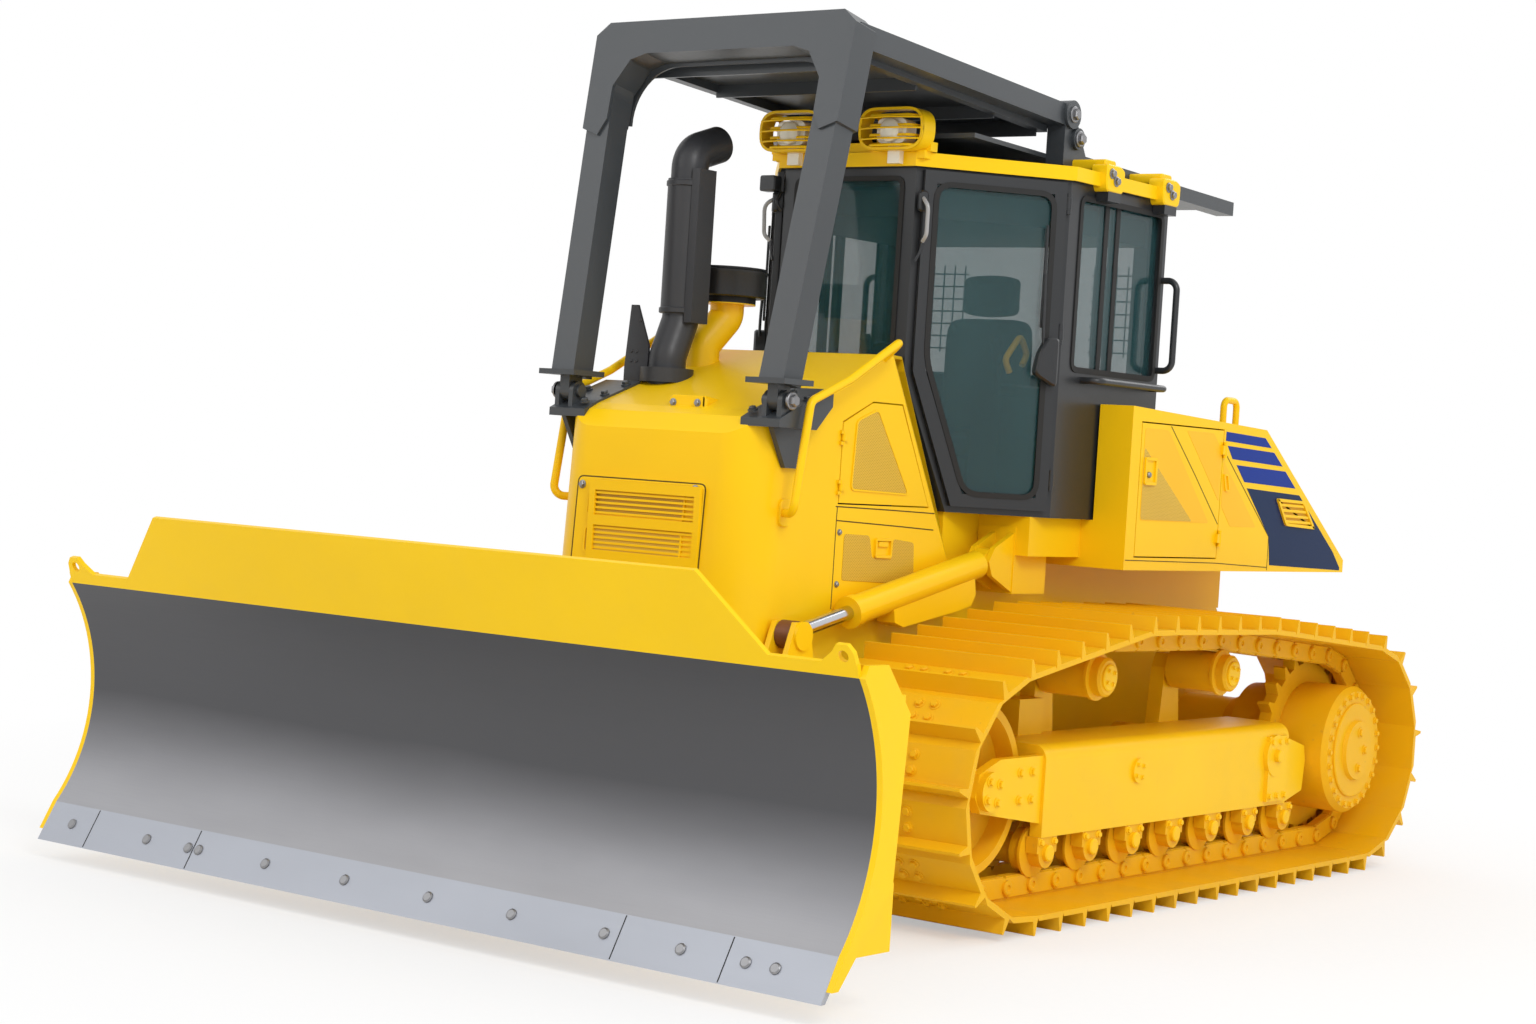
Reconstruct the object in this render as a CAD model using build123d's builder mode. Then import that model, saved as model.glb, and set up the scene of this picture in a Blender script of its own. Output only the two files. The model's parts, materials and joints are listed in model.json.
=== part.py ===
from build123d import *
import os
from math import atan2, cos, hypot, pi, sin, sqrt

# A wide-track crawler bulldozer with a power-angle-tilt blade and forestry sweeps.
# Millimetres. The front looks along -Y, the machine's left side is +X, the ground is Z = 0.
# Y = 0 lies a little ahead of the middle of the tracks.

# General clearances
REST_GAP = 0.3
RUN_FIT = 0.05
PANEL_GAP = 6.0

# Crawler tracks
SHOE_IN = 680.0
SHOE_WIDTH = 780.0
PITCH = 190.0
GROUSER = 57.0
SHOE_PLATE = 22.0
LINK_OUT = 50.0
LINK_IN = 45.0
RAIL_SPREAD = 88.0
RAIL_WIDTH = 40.0
IDLER_Y = -1370.0
SPROCKET_Y = 1725.0
IDLER_PIN_R = 411.0
SPROCKET_PIN_R = 436.0
CARRIER_R = 92.0
CARRIER_FRONT_Y = -477.0
CARRIER_REAR_Y = 641.0
CARRIER_FRONT_Z = 968.0
CARRIER_REAR_Z = 955.0
ROLLER_R = 90.0
ROLLER_FIRST_Y = -900.0
ROLLER_COUNT = 7
ROLLER_STEP = 356.0
TIP_OUT = LINK_OUT + SHOE_PLATE + GROUSER
IDLER_Z = IDLER_PIN_R + TIP_OUT
SPROCKET_Z = SPROCKET_PIN_R + TIP_OUT
TRACK_X = SHOE_IN + SHOE_WIDTH / 2
ROLLER_Z = TIP_OUT + LINK_IN + ROLLER_R + REST_GAP

# Track frames and final drives
FRAME_IN = 885.0
FRAME_OUT = 1262.0
FRAME_FRONT_Y = -960.0
FRAME_REAR_Y = 1225.0
FRAME_LOW_Z = 330.0
FRAME_TOP_Z = 700.0
FRAME_EDGE_R = 60.0
FRAME_WALL = 30.0
HUB_R = 302.0
HUB_OUT = 1390.0
HUB_IN = 740.0
PIVOT_SHAFT_Y = 1010.0
PIVOT_SHAFT_R = 75.0
EQUALIZER_Y = -640.0
EQUALIZER_Z = 785.0
AXLE_Z = 560.0

# Main frame
HULL_HALF = 470.0
HULL_FRONT_Y = -1930.0
HULL_REAR_Y = 2090.0
HULL_LOW_Z = 430.0
HULL_TOP_Z = 1180.0

# Push frame and its pivot
PIVOT_Y = -300.0
PIVOT_Z = 450.0
ARM_X = 590.0
ARM_WIDTH = 96.0
ARM_LOW_Z = 335.0
ARM_TOP_Z = 585.0
BEND_Y = -2290.0
NOSE_Y = -2790.0
NOSE_R = 115.0
NOSE_PIN_R = 55.0
TRUNNION_R = 60.0
LIFT_X = 600.0
LIFT_ROD_Y = -1846.0
LIFT_ROD_Z = 1100.0
LIFT_BASE_Y = -465.0
LIFT_BASE_Z = 1396.0
LIFT_R = 60.0
LIFT_ROD_R = 30.0
LIFT_PIN_R = 32.0
LIFT_BARREL = 1020.0
LIFT_ROD_LENGTH = 1015.0
ANGLE_BASE_X = 585.0
ANGLE_BASE_Y = -2200.0
ANGLE_EYE_X = 400.0
ANGLE_EYE_Y = -2850.0
ANGLE_Z = 690.0
ANGLE_R = 48.0
ANGLE_ROD_R = 26.0
ANGLE_PIN_R = 24.0
ANGLE_BARREL = 460.0
ANGLE_ROD_LENGTH = 432.0
TILT_HALF = 300.0
TILT_Y = -2945.0
TILT_Z = 900.0
TILT_R = 50.0
TILT_ROD_R = 24.0
TILT_PIN_R = 26.0
TILT_BARREL = 380.0
TILT_ROD_LENGTH = 330.0

# Blade
BLADE_HALF = 1935.0
BLADE_PLATE = 25.0
EDGE_LOW_Y = -3379.0
EDGE_LOW_Z = 74.0
EDGE_TOP_Y = -3296.0
EDGE_TOP_Z = 220.0
BOARD_MID_Y = -3140.0
BOARD_MID_Z = 661.0
BOARD_TOP_Y = -3282.0
BOARD_TOP_Z = 1102.0
BLADE_BACK_Y = -3010.0
GUARD_LOW_HALF = 1580.0
GUARD_TOP_HALF = 1335.0
GUARD_TOP_Y = -3397.0
GUARD_TOP_Z = 1399.0
STRIP_TOP_Z = 1144.0

# Hood
HOOD_HALF = 520.0
HOOD_FRONT_Y = -2065.0
HOOD_LOW_Z = 1000.0
HOOD_WALL = 14.0
HOOD_CORNER_R = 190.0
HOOD_NOSE_Z = 1905.0
HOOD_TOP_FRONT_Y = -1900.0
HOOD_TOP_FRONT_Z = 1962.0
HOOD_TOP_REAR_Y = -1144.0
HOOD_TOP_REAR_Z = 2234.0
HOOD_SIDE_REAR_Y = -740.0
HOOD_SIDE_REAR_Z = 1560.0
DOOR_FRONT_Y = -1461.0
DOOR_LOW_Z = 1618.0
DOOR_TOP_Z = 2030.0

# Cab
CAB_FRONT_Y = -800.0
CAB_FRONT_HALF = 345.0
CAB_SIDE_Y = -250.0
CAB_HALF = 780.0
CAB_REAR_SIDE_Y = 620.0
CAB_REAR_HALF = 700.0
CAB_REAR_Y = 700.0
CAB_LOW_Z = 1598.0
CAB_KNEE_Z = 2181.0
CAB_TOP_Z = 3060.0
CAB_LOW_FRONT_Y = -624.0
CAB_WALL = 55.0
ROOF_TOP_Z = 3110.0
GLASS = 8.0

# Rear body
BODY_HALF = 960.0
BODY_FRONT_Y = 100.0
BODY_LOW_Z = 1388.0
BODY_TOP_Z = 2110.0
BODY_SLOPE_Y = 1400.0
BODY_SLOPE_Z = 2063.0
BODY_REAR_Y = 2340.0
BODY_REAR_TOP_Z = 1450.0
SIDE_DOOR_FRONT_Y = 190.0
SIDE_DOOR_REAR_Y = 960.0
SIDE_DOOR_LOW_Z = 1450.0
SIDE_DOOR_TOP_Z = 2040.0
SIDE_DOOR_THICK = 30.0
SIDE_DOOR_MID_Y = (SIDE_DOOR_FRONT_Y + SIDE_DOOR_REAR_Y) / 2
SIDE_DOOR_MID_Z = (SIDE_DOOR_LOW_Z + SIDE_DOOR_TOP_Z) / 2

# Forestry sweeps
POST_X = 533.0
POST_FOOT_Y = -1926.0
POST_FOOT_Z = 2066.0
POST_TOP_X = 606.0
POST_TOP_Y = -1680.0
POST_TOP_Z = 3480.0
POST_SIZE = 120.0
SWEEP_REAR_Y = -60.0
SWEEP_REAR_Z = 3395.0
SWEEP_TAIL_Y = 1500.0
SWEEP_TAIL_Z = 3110.0
RAIL_FRONT_Z = 3142.0
FOOT_PIN_Z = 2005.0
FOOT_PIN_R = 26.0
BRACKET_SPREAD = 25.3
BRACKET_CHEEK = 22.0
BRACKET_ROUND = 40.0


def belt(circles):
    """Straight runs and arcs of a belt that goes counter-clockwise round circles (y, z, radius)."""
    normals = []
    for here, there in zip(circles, circles[1:] + circles[:1]):
        dy = there[0] - here[0]
        dz = there[1] - here[1]
        span = hypot(dy, dz)
        lean = (here[2] - there[2]) / span
        side = sqrt(1 - lean * lean)
        normals.append(((dy * lean + dz * side) / span, (dz * lean - dy * side) / span))
    pieces = []
    for index, circle in enumerate(circles):
        before = normals[index - 1]
        after = normals[index]
        start = atan2(before[1], before[0])
        turn = (atan2(after[1], after[0]) - start) % (2 * pi)
        following = circles[(index + 1) % len(circles)]
        leave = (circle[0] + circle[2] * after[0], circle[1] + circle[2] * after[1])
        reach = (following[0] + following[2] * after[0], following[1] + following[2] * after[1])
        pieces.append(("arc", circle, start, turn, circle[2] * turn))
        pieces.append(("line", leave, reach, 0, hypot(reach[0] - leave[0], reach[1] - leave[1])))
    return pieces


def along(pieces, travel):
    """The point at a distance along the belt."""
    for kind, first, second, turn, length in pieces:
        if travel <= length:
            if kind == "arc":
                angle = second + turn * travel / length
                return (first[0] + first[2] * cos(angle), first[1] + first[2] * sin(angle))
            share = travel / length
            return (first[0] + (second[0] - first[0]) * share, first[1] + (second[1] - first[1]) * share)
        travel -= length
    return along(pieces, 0)


track_belt = belt(
    [
        (IDLER_Y, IDLER_Z, IDLER_PIN_R),
        (SPROCKET_Y, SPROCKET_Z, SPROCKET_PIN_R),
        (CARRIER_REAR_Y, CARRIER_REAR_Z, CARRIER_R + LINK_IN),
        (CARRIER_FRONT_Y, CARRIER_FRONT_Z, CARRIER_R + LINK_IN),
    ]
)
belt_length = sum(piece[4] for piece in track_belt)
SHOES = round(belt_length / PITCH)
pins = [along(track_belt, belt_length * k / SHOES) for k in range(SHOES)]


def link_point(k, share, out):
    """A point on link k: a share of the way from its pin to the next one, and so far outwards."""
    here = pins[k % SHOES]
    there = pins[(k + 1) % SHOES]
    dy = there[0] - here[0]
    dz = there[1] - here[1]
    span = hypot(dy, dz)
    return (here[0] + dy * share + dz / span * out, here[1] + dz * share - dy / span * out)


def pin_point(k, out):
    """A point straight out from pin k, on the bisector of its two links."""
    before = link_point(k - 1, 1, out)
    after = link_point(k, 0, out)
    return ((before[0] + after[0]) / 2, (before[1] + after[1]) / 2)


SHOE_TOP = LINK_OUT + SHOE_PLATE
shoe_outline = []
for k in range(SHOES):
    shoe_outline += [
        link_point(k, 0.03, SHOE_TOP),
        link_point(k, 0.80, SHOE_TOP),
        link_point(k, 0.87, TIP_OUT),
        link_point(k, 0.93, TIP_OUT),
        link_point(k, 0.985, LINK_OUT + SHOE_PLATE * 0.4),
    ]
link_outline = [pin_point(k, LINK_OUT) for k in range(SHOES)]
rail_outline = []
for k in range(SHOES):
    rail_outline += [
        link_point(k, 0.06, -LINK_IN), link_point(k, 0.94, -LINK_IN), pin_point(k + 1, -LINK_IN * 0.5),
    ]

with BuildPart() as track_left:
    with BuildSketch(Plane.YZ.offset(SHOE_IN)):
        with BuildLine():
            Polyline(shoe_outline, close=True)
        make_face()
        with BuildLine():
            Polyline(link_outline, close=True)
        make_face(mode=Mode.SUBTRACT)
    extrude(amount=SHOE_WIDTH)
    for rail_x in (TRACK_X - RAIL_SPREAD, TRACK_X + RAIL_SPREAD):
        with BuildSketch(Plane.YZ.offset(rail_x - RAIL_WIDTH / 2)):
            with BuildLine():
                Polyline(link_outline, close=True)
            make_face()
            with BuildLine():
                Polyline(rail_outline, close=True)
            make_face(mode=Mode.SUBTRACT)
        extrude(amount=RAIL_WIDTH)
with BuildPart() as track_right:
    mirror(track_left.part, about=Plane.YZ)

# Wheels inside the tracks
TREAD_HALF = RAIL_SPREAD + RAIL_WIDTH / 2
FLANGE_HALF = RAIL_SPREAD - RAIL_WIDTH / 2 - 6
IDLER_TREAD_R = sqrt(IDLER_PIN_R**2 - (PITCH / 2) ** 2) - LINK_IN - REST_GAP
IDLER_RIM = 55.0
YOKE_IN = 138.0
YOKE_WALL = 40.0
IDLER_HUB = YOKE_IN - REST_GAP


def wheel_profile(points):
    """The half section of a wheel, as (along the axle, radius) points, closed and made a face."""
    with BuildLine() as outline:
        Polyline(points, close=True)
    make_face(outline.edges())


def wheel_plane(x, y, z):
    """A plane whose local x runs along the axle (+X) and whose local y is the radius (up)."""
    return Plane(origin=(x, y, z), x_dir=(1, 0, 0), z_dir=(0, -1, 0))


with BuildPart() as idler_left:
    with BuildSketch(wheel_plane(TRACK_X, IDLER_Y, IDLER_Z)):
        wheel_profile(
            [
                (-IDLER_HUB, 0), (-IDLER_HUB, 62), (-95, 90), (-34, 110), (-34, IDLER_TREAD_R - IDLER_RIM),
                (-TREAD_HALF, IDLER_TREAD_R - 40), (-TREAD_HALF, IDLER_TREAD_R - 4),
                (-FLANGE_HALF, IDLER_TREAD_R - 4), (-FLANGE_HALF + 8, IDLER_TREAD_R + 22),
                (FLANGE_HALF - 8, IDLER_TREAD_R + 22), (FLANGE_HALF, IDLER_TREAD_R - 4),
                (TREAD_HALF, IDLER_TREAD_R - 4), (TREAD_HALF, IDLER_TREAD_R - 40),
                (34, IDLER_TREAD_R - IDLER_RIM), (34, 110), (95, 90), (IDLER_HUB, 62), (IDLER_HUB, 0),
            ]
        )
    revolve(axis=Axis((TRACK_X, IDLER_Y, IDLER_Z), (1, 0, 0)))
with BuildPart() as idlers:
    add(idler_left.part)
    mirror(idler_left.part, about=Plane.YZ)

# Sprocket with the final drive's housing, the outer cover and its boss
TEETH = 25
TOOTH_ROOT_R = SPROCKET_PIN_R - 42
TOOTH_TIP_R = SPROCKET_PIN_R + 12
tooth_points = []
for k in range(TEETH):
    turn = 2 * pi / TEETH
    for share, radius in (
        (0.0, TOOTH_ROOT_R), (0.3, TOOTH_ROOT_R), (0.5, TOOTH_TIP_R), (0.62, TOOTH_TIP_R),
        (0.82, TOOTH_ROOT_R),
    ):
        angle = (k + share) * turn
        tooth_points.append((SPROCKET_Y + radius * cos(angle), SPROCKET_Z + radius * sin(angle)))
with BuildPart() as sprocket_left:
    with BuildSketch(Plane.YZ.offset(TRACK_X - 30)):
        with BuildLine():
            Polyline(tooth_points, close=True)
        make_face()
    extrude(amount=60)
    with BuildSketch(wheel_plane(0, SPROCKET_Y, SPROCKET_Z)):
        wheel_profile(
            [
                (HUB_IN, 0), (HUB_IN, 190), (HUB_IN + 60, 215), (HUB_IN + 90, 270), (1000, 285),
                (TRACK_X - 30, 300), (TRACK_X + 30, 300), (TRACK_X + 45, HUB_R), (HUB_OUT - 55, HUB_R),
                (HUB_OUT - 30, HUB_R - 22), (HUB_OUT - 30, 150), (HUB_OUT, 138), (HUB_OUT, 0),
            ]
        )
    revolve(axis=Axis((0, SPROCKET_Y, SPROCKET_Z), (1, 0, 0)))
with BuildPart() as sprockets:
    add(sprocket_left.part)
    mirror(sprocket_left.part, about=Plane.YZ)

# Track rollers hang under the frame in their end collars
roller_places = [(TRACK_X, ROLLER_FIRST_Y + k * ROLLER_STEP, ROLLER_Z) for k in range(ROLLER_COUNT)]
ROLLER_FLANGE = 18.0
COLLAR_IN = 132.0
COLLAR_OUT = 190.0
with BuildPart() as roller_one:
    with BuildSketch(wheel_plane(0, 0, 0)):
        wheel_profile(
            [
                (-COLLAR_IN, 0), (-COLLAR_IN, 60), (-TREAD_HALF - 16, ROLLER_R + ROLLER_FLANGE),
                (-TREAD_HALF - 4, ROLLER_R + ROLLER_FLANGE), (-TREAD_HALF, ROLLER_R),
                (-FLANGE_HALF, ROLLER_R), (-FLANGE_HALF, 62), (FLANGE_HALF, 62), (FLANGE_HALF, ROLLER_R),
                (TREAD_HALF, ROLLER_R), (TREAD_HALF + 4, ROLLER_R + ROLLER_FLANGE),
                (TREAD_HALF + 16, ROLLER_R + ROLLER_FLANGE), (COLLAR_IN, 60), (COLLAR_IN, 0),
            ]
        )
    revolve(axis=Axis.X)
    for side in (-1, 1):
        with BuildSketch(Plane.YZ.offset(side * COLLAR_IN)):
            with Locations((0, (FRAME_LOW_Z - ROLLER_Z) / 2)):
                Rectangle(150, FRAME_LOW_Z - ROLLER_Z)
            Circle(62)
        extrude(amount=side * (COLLAR_OUT - COLLAR_IN - 4))
with BuildPart() as track_rollers:
    for place in roller_places:
        for side in (-1, 1):
            with Locations((side * place[0], place[1], place[2])):
                add(roller_one.part)

# Carrier rollers stand on brackets above the frame, with a round cap outside
with BuildPart() as carrier_one:
    with BuildSketch(wheel_plane(0, 0, 0)):
        wheel_profile(
            [
                (-128, 0), (-128, 60), (-TREAD_HALF - 6, CARRIER_R), (TREAD_HALF, CARRIER_R),
                (TREAD_HALF + 6, CARRIER_R + 10), (TREAD_HALF + 20, CARRIER_R + 10), (TREAD_HALF + 24, 82),
                (170, 82), (180, 72), (180, 0),
            ]
        )
    revolve(axis=Axis.X)
CARRIER_DROP = 8.0
CARRIER_PLACES = [
    (CARRIER_FRONT_Y, CARRIER_FRONT_Z - CARRIER_DROP), (CARRIER_REAR_Y, CARRIER_REAR_Z - CARRIER_DROP),
]
with BuildPart() as carrier_rollers:
    for side in (-1, 1):
        for carrier_y, carrier_z in CARRIER_PLACES:
            with Locations(Location((side * TRACK_X, carrier_y, carrier_z), (0, 0, 0 if side > 0 else 180))):
                add(carrier_one.part)

# Track frames: a round-edged box with its roller channel, idler yoke, rear plates and carrier posts
POST_OUT = TRACK_X - 128 - REST_GAP
# Round bosses on the left track frame: (y, z, radius, x where it starts, how far it stands out)
FRAME_BOSSES = [
    (IDLER_Y, IDLER_Z, 78, TRACK_X + YOKE_IN + YOKE_WALL - 5, 35),
    (FRAME_FRONT_Y + 760, 560, 52, FRAME_OUT - 5, 17),
    (PIVOT_SHAFT_Y + 60, AXLE_Z, 96, FRAME_OUT - 5, 27),
]
with BuildPart() as track_frame_left:
    with BuildSketch(Plane.XZ.offset(-FRAME_FRONT_Y)):
        with Locations(((FRAME_IN + FRAME_OUT) / 2, (FRAME_LOW_Z + FRAME_TOP_Z) / 2)):
            Rectangle(FRAME_OUT - FRAME_IN, FRAME_TOP_Z - FRAME_LOW_Z)
    extrude(amount=-(FRAME_REAR_Y - FRAME_FRONT_Y))
    fillet(track_frame_left.edges().filter_by(Axis.Y).group_by(Axis.Z)[-1], FRAME_EDGE_R)
    with Locations((TRACK_X, (FRAME_FRONT_Y + FRAME_REAR_Y) / 2, FRAME_LOW_Z)):
        Box(
            2 * COLLAR_IN + 8, FRAME_REAR_Y - FRAME_FRONT_Y + 2,
            2 * (ROLLER_Z + ROLLER_R + ROLLER_FLANGE + 20 - FRAME_LOW_Z), mode=Mode.SUBTRACT,
        )
    for yoke_x in (TRACK_X - YOKE_IN - YOKE_WALL, TRACK_X + YOKE_IN):
        with BuildSketch(Plane.YZ.offset(yoke_x)):
            with BuildLine():
                Polyline(
                    (FRAME_FRONT_Y + 40, 380), (FRAME_FRONT_Y + 40, 660), (IDLER_Y + 90, 660),
                    (IDLER_Y - 60, 610), (IDLER_Y - 85, 520), (IDLER_Y - 40, 455), (IDLER_Y + 120, 430),
                    close=True,
                )
            make_face()
        extrude(amount=YOKE_WALL)
    for boss_y, boss_z, boss_r, boss_x, boss_out in FRAME_BOSSES:
        with BuildSketch(Plane.YZ.offset(boss_x)):
            with Locations((boss_y, boss_z)):
                Circle(boss_r)
        extrude(amount=boss_out)
    with Locations((FRAME_OUT + 4, FRAME_REAR_Y - 130, 500)):
        Box(28, 190, 300)
    for plate_x in (FRAME_IN, FRAME_OUT - FRAME_WALL):
        with BuildSketch(Plane.YZ.offset(plate_x)):
            with BuildLine():
                Polyline(
                    (FRAME_REAR_Y - 30, FRAME_LOW_Z), (FRAME_REAR_Y - 30, FRAME_TOP_Z - FRAME_EDGE_R),
                    (SPROCKET_Y - 330, FRAME_TOP_Z - 110), (SPROCKET_Y - 310, 520), (SPROCKET_Y - 330, 380),
                    close=True,
                )
            make_face()
        extrude(amount=FRAME_WALL)
    with Locations((FRAME_IN + 50, EQUALIZER_Y, (EQUALIZER_Z + 65 + FRAME_TOP_Z - 80) / 2)):
        Box(100, 190, EQUALIZER_Z + 65 - FRAME_TOP_Z + 80)
    for carrier_y, carrier_z in CARRIER_PLACES:
        with BuildSketch(Plane.YZ.offset(POST_OUT - 70)):
            with BuildLine():
                Polyline(
                    (carrier_y - 95, FRAME_TOP_Z - 20), (carrier_y + 95, FRAME_TOP_Z - 20),
                    (carrier_y + 62, carrier_z), (carrier_y + 35, carrier_z + 62),
                    (carrier_y - 35, carrier_z + 62),
                    (carrier_y - 62, carrier_z), close=True,
                )
            make_face()
        extrude(amount=70)
with BuildPart() as track_frames:
    add(track_frame_left.part)
    mirror(track_frame_left.part, about=Plane.YZ)

# Main frame: hull, belly, axle tubes, pivot shaft, equaliser bar, lift brackets and push-frame trunnions
BRACKET_Y = -330.0
BRACKET_IN = 36.0
BRACKET_WALL = 24.0
BARREL_EYE_HALF = 34.0
with BuildPart() as main_frame:
    with BuildSketch(Plane.YZ):
        with BuildLine():
            Polyline(
                (HULL_FRONT_Y, HULL_LOW_Z + 330), (HULL_FRONT_Y, HOOD_LOW_Z), (-630, HOOD_LOW_Z),
                (-630, HULL_TOP_Z),
                (HULL_REAR_Y - 150, HULL_TOP_Z), (HULL_REAR_Y, HULL_TOP_Z - 160),
                (HULL_REAR_Y, HULL_LOW_Z + 120),
                (HULL_REAR_Y - 160, HULL_LOW_Z), (HULL_FRONT_Y + 330, HULL_LOW_Z), close=True,
            )
        make_face()
    extrude(amount=HULL_HALF, both=True)
    with Locations((0, (HULL_FRONT_Y - 640) / 2, HOOD_LOW_Z - 15)):
        Box(2 * HOOD_HALF, -640 - HULL_FRONT_Y, 30)
    with Locations((0, -1260, 900)):
        Box(2 * HULL_HALF - 60, 1100, 600, mode=Mode.SUBTRACT)
    with BuildSketch(Plane.YZ):
        with Locations((SPROCKET_Y, SPROCKET_Z)):
            Circle(185)
    extrude(amount=HUB_IN, both=True)
    with BuildSketch(Plane.YZ):
        with Locations((PIVOT_SHAFT_Y, AXLE_Z)):
            Circle(PIVOT_SHAFT_R)
    extrude(amount=FRAME_IN, both=True)
    with Locations((0, EQUALIZER_Y, EQUALIZER_Z)):
        Box(2 * FRAME_IN, 130, 130)
    with BuildSketch(Plane.YZ):
        with Locations((PIVOT_Y, PIVOT_Z)):
            Circle(TRUNNION_R)
    extrude(amount=ARM_X + ARM_WIDTH / 2 - 8, both=True)
    for side in (-1, 1):
        for wall_x in (-BRACKET_IN - BRACKET_WALL, BRACKET_IN):
            with BuildSketch(Plane.YZ.offset(side * LIFT_X + wall_x)):
                with BuildLine():
                    Polyline(
                        (BRACKET_Y, LIFT_BASE_Z - 130), (BRACKET_Y, LIFT_BASE_Z + 130),
                        (LIFT_BASE_Y - 20, LIFT_BASE_Z + 62),
                        (LIFT_BASE_Y - 62, LIFT_BASE_Z), (LIFT_BASE_Y - 30, LIFT_BASE_Z - 60), close=True,
                    )
                make_face()
            extrude(amount=BRACKET_WALL)
        with BuildSketch(Plane.YZ.offset(side * LIFT_X - BRACKET_IN - BRACKET_WALL)):
            with Locations((LIFT_BASE_Y, LIFT_BASE_Z)):
                Circle(LIFT_PIN_R)
        extrude(amount=2 * (BRACKET_IN + BRACKET_WALL))
        with Locations((side * (LIFT_X - 30), BRACKET_Y + 130, LIFT_BASE_Z + 10)):
            Box(190, 270, 290)
    with Locations((0, (HULL_REAR_Y - 630) / 2 - 60, (HULL_TOP_Z + BODY_LOW_Z) / 2 - 5)):
        Box(2 * HULL_HALF, HULL_REAR_Y + 630 - 120, BODY_LOW_Z - HULL_TOP_Z + 10)
    with Locations((0, (BODY_FRONT_Y - 612) / 2, (BODY_LOW_Z + CAB_LOW_Z) / 2 - 5)):
        Box(2 * HULL_HALF, BODY_FRONT_Y + 612, CAB_LOW_Z - BODY_LOW_Z + 10)
    with Locations((0, (BODY_FRONT_Y + BRACKET_Y) / 2, (BODY_LOW_Z + CAB_LOW_Z) / 2 + 20)):
        Box(2 * CAB_HALF - 100, BODY_FRONT_Y - BRACKET_Y, CAB_LOW_Z - BODY_LOW_Z - 40)

# Push frame: arms, converging nose, trunnion bosses, lift ears and the nose's two pin lugs
EAR_IN = 36.0
EAR_WALL = 24.0
LUG_GAP = 70.0
LUG_PLATE = 60.0
NOSE_Z = (ARM_LOW_Z + ARM_TOP_Z) / 2
ANGLE_EAR_IN = 30.0
ANGLE_EAR_WALL = 22.0
with BuildPart() as c_frame:
    with BuildSketch(Plane.XY.offset(ARM_LOW_Z)):
        for side in (-1, 1):
            with BuildLine():
                Polyline(
                    (side * (ARM_X - ARM_WIDTH / 2), PIVOT_Y), (side * (ARM_X - ARM_WIDTH / 2), BEND_Y - 20),
                    (side * 60, -2540), (side * 60, -2670), (side * 150, -2670),
                    (side * (ARM_X + ARM_WIDTH / 2), BEND_Y - 60),
                    (side * (ARM_X + ARM_WIDTH / 2), PIVOT_Y), close=True,
                )
            make_face()
        with Locations((0, -2605)):
            Rectangle(240, 130)
    extrude(amount=ARM_TOP_Z - ARM_LOW_Z)
    for side in (-1, 1):
        with BuildSketch(Plane.YZ.offset(side * ARM_X)):
            with Locations((PIVOT_Y, PIVOT_Z)):
                Circle(135)
        extrude(amount=ARM_WIDTH / 2, both=True)
        with BuildSketch(Plane.YZ.offset(side * ARM_X)):
            with Locations((PIVOT_Y, PIVOT_Z)):
                Circle(TRUNNION_R + RUN_FIT)
        extrude(amount=ARM_WIDTH, both=True, mode=Mode.SUBTRACT)
        for wall_x in (-EAR_IN - EAR_WALL, EAR_IN):
            with BuildSketch(Plane.YZ.offset(side * LIFT_X + wall_x)):
                with BuildLine():
                    Polyline(
                        (LIFT_ROD_Y - 260, ARM_TOP_Z - 20), (LIFT_ROD_Y - 62, LIFT_ROD_Z),
                        (LIFT_ROD_Y - 40, LIFT_ROD_Z + 52),
                        (LIFT_ROD_Y + 40, LIFT_ROD_Z + 52), (LIFT_ROD_Y + 62, LIFT_ROD_Z),
                        (LIFT_ROD_Y + 190, ARM_TOP_Z - 20),
                        close=True,
                    )
                make_face()
            extrude(amount=EAR_WALL)
        with BuildSketch(Plane.YZ.offset(side * LIFT_X + side * (EAR_IN + EAR_WALL))):
            with Locations((LIFT_ROD_Y, LIFT_ROD_Z)):
                Circle(56)
        extrude(amount=side * 12)
        with Locations((side * (ANGLE_BASE_X + 22), ANGLE_BASE_Y + 70, ARM_TOP_Z + 100)):
            Box(62, 40, 220)
        for low_z in (ANGLE_Z - ANGLE_EAR_IN - ANGLE_EAR_WALL, ANGLE_Z + ANGLE_EAR_IN):
            with BuildSketch(Plane.XY.offset(low_z)):
                with Locations((side * ANGLE_BASE_X, ANGLE_BASE_Y)):
                    Circle(48)
                with Locations((side * (ANGLE_BASE_X + 8), ANGLE_BASE_Y + 50)):
                    Rectangle(90, 80)
            extrude(amount=ANGLE_EAR_WALL)
        with BuildSketch(Plane.XY.offset(ANGLE_Z - ANGLE_EAR_IN - ANGLE_EAR_WALL)):
            with Locations((side * ANGLE_BASE_X, ANGLE_BASE_Y)):
                Circle(ANGLE_PIN_R)
        extrude(amount=2 * (ANGLE_EAR_IN + ANGLE_EAR_WALL))
    for low_z in (NOSE_Z - LUG_GAP - LUG_PLATE, NOSE_Z + LUG_GAP):
        with BuildSketch(Plane.XY.offset(low_z)):
            with Locations((0, NOSE_Y)):
                Circle(NOSE_R)
            with Locations((0, (NOSE_Y - 2640) / 2)):
                Rectangle(2 * NOSE_R, -2640 - NOSE_Y)
            with Locations((0, NOSE_Y)):
                Circle(NOSE_PIN_R + RUN_FIT, mode=Mode.SUBTRACT)
        extrude(amount=LUG_PLATE)

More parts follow.
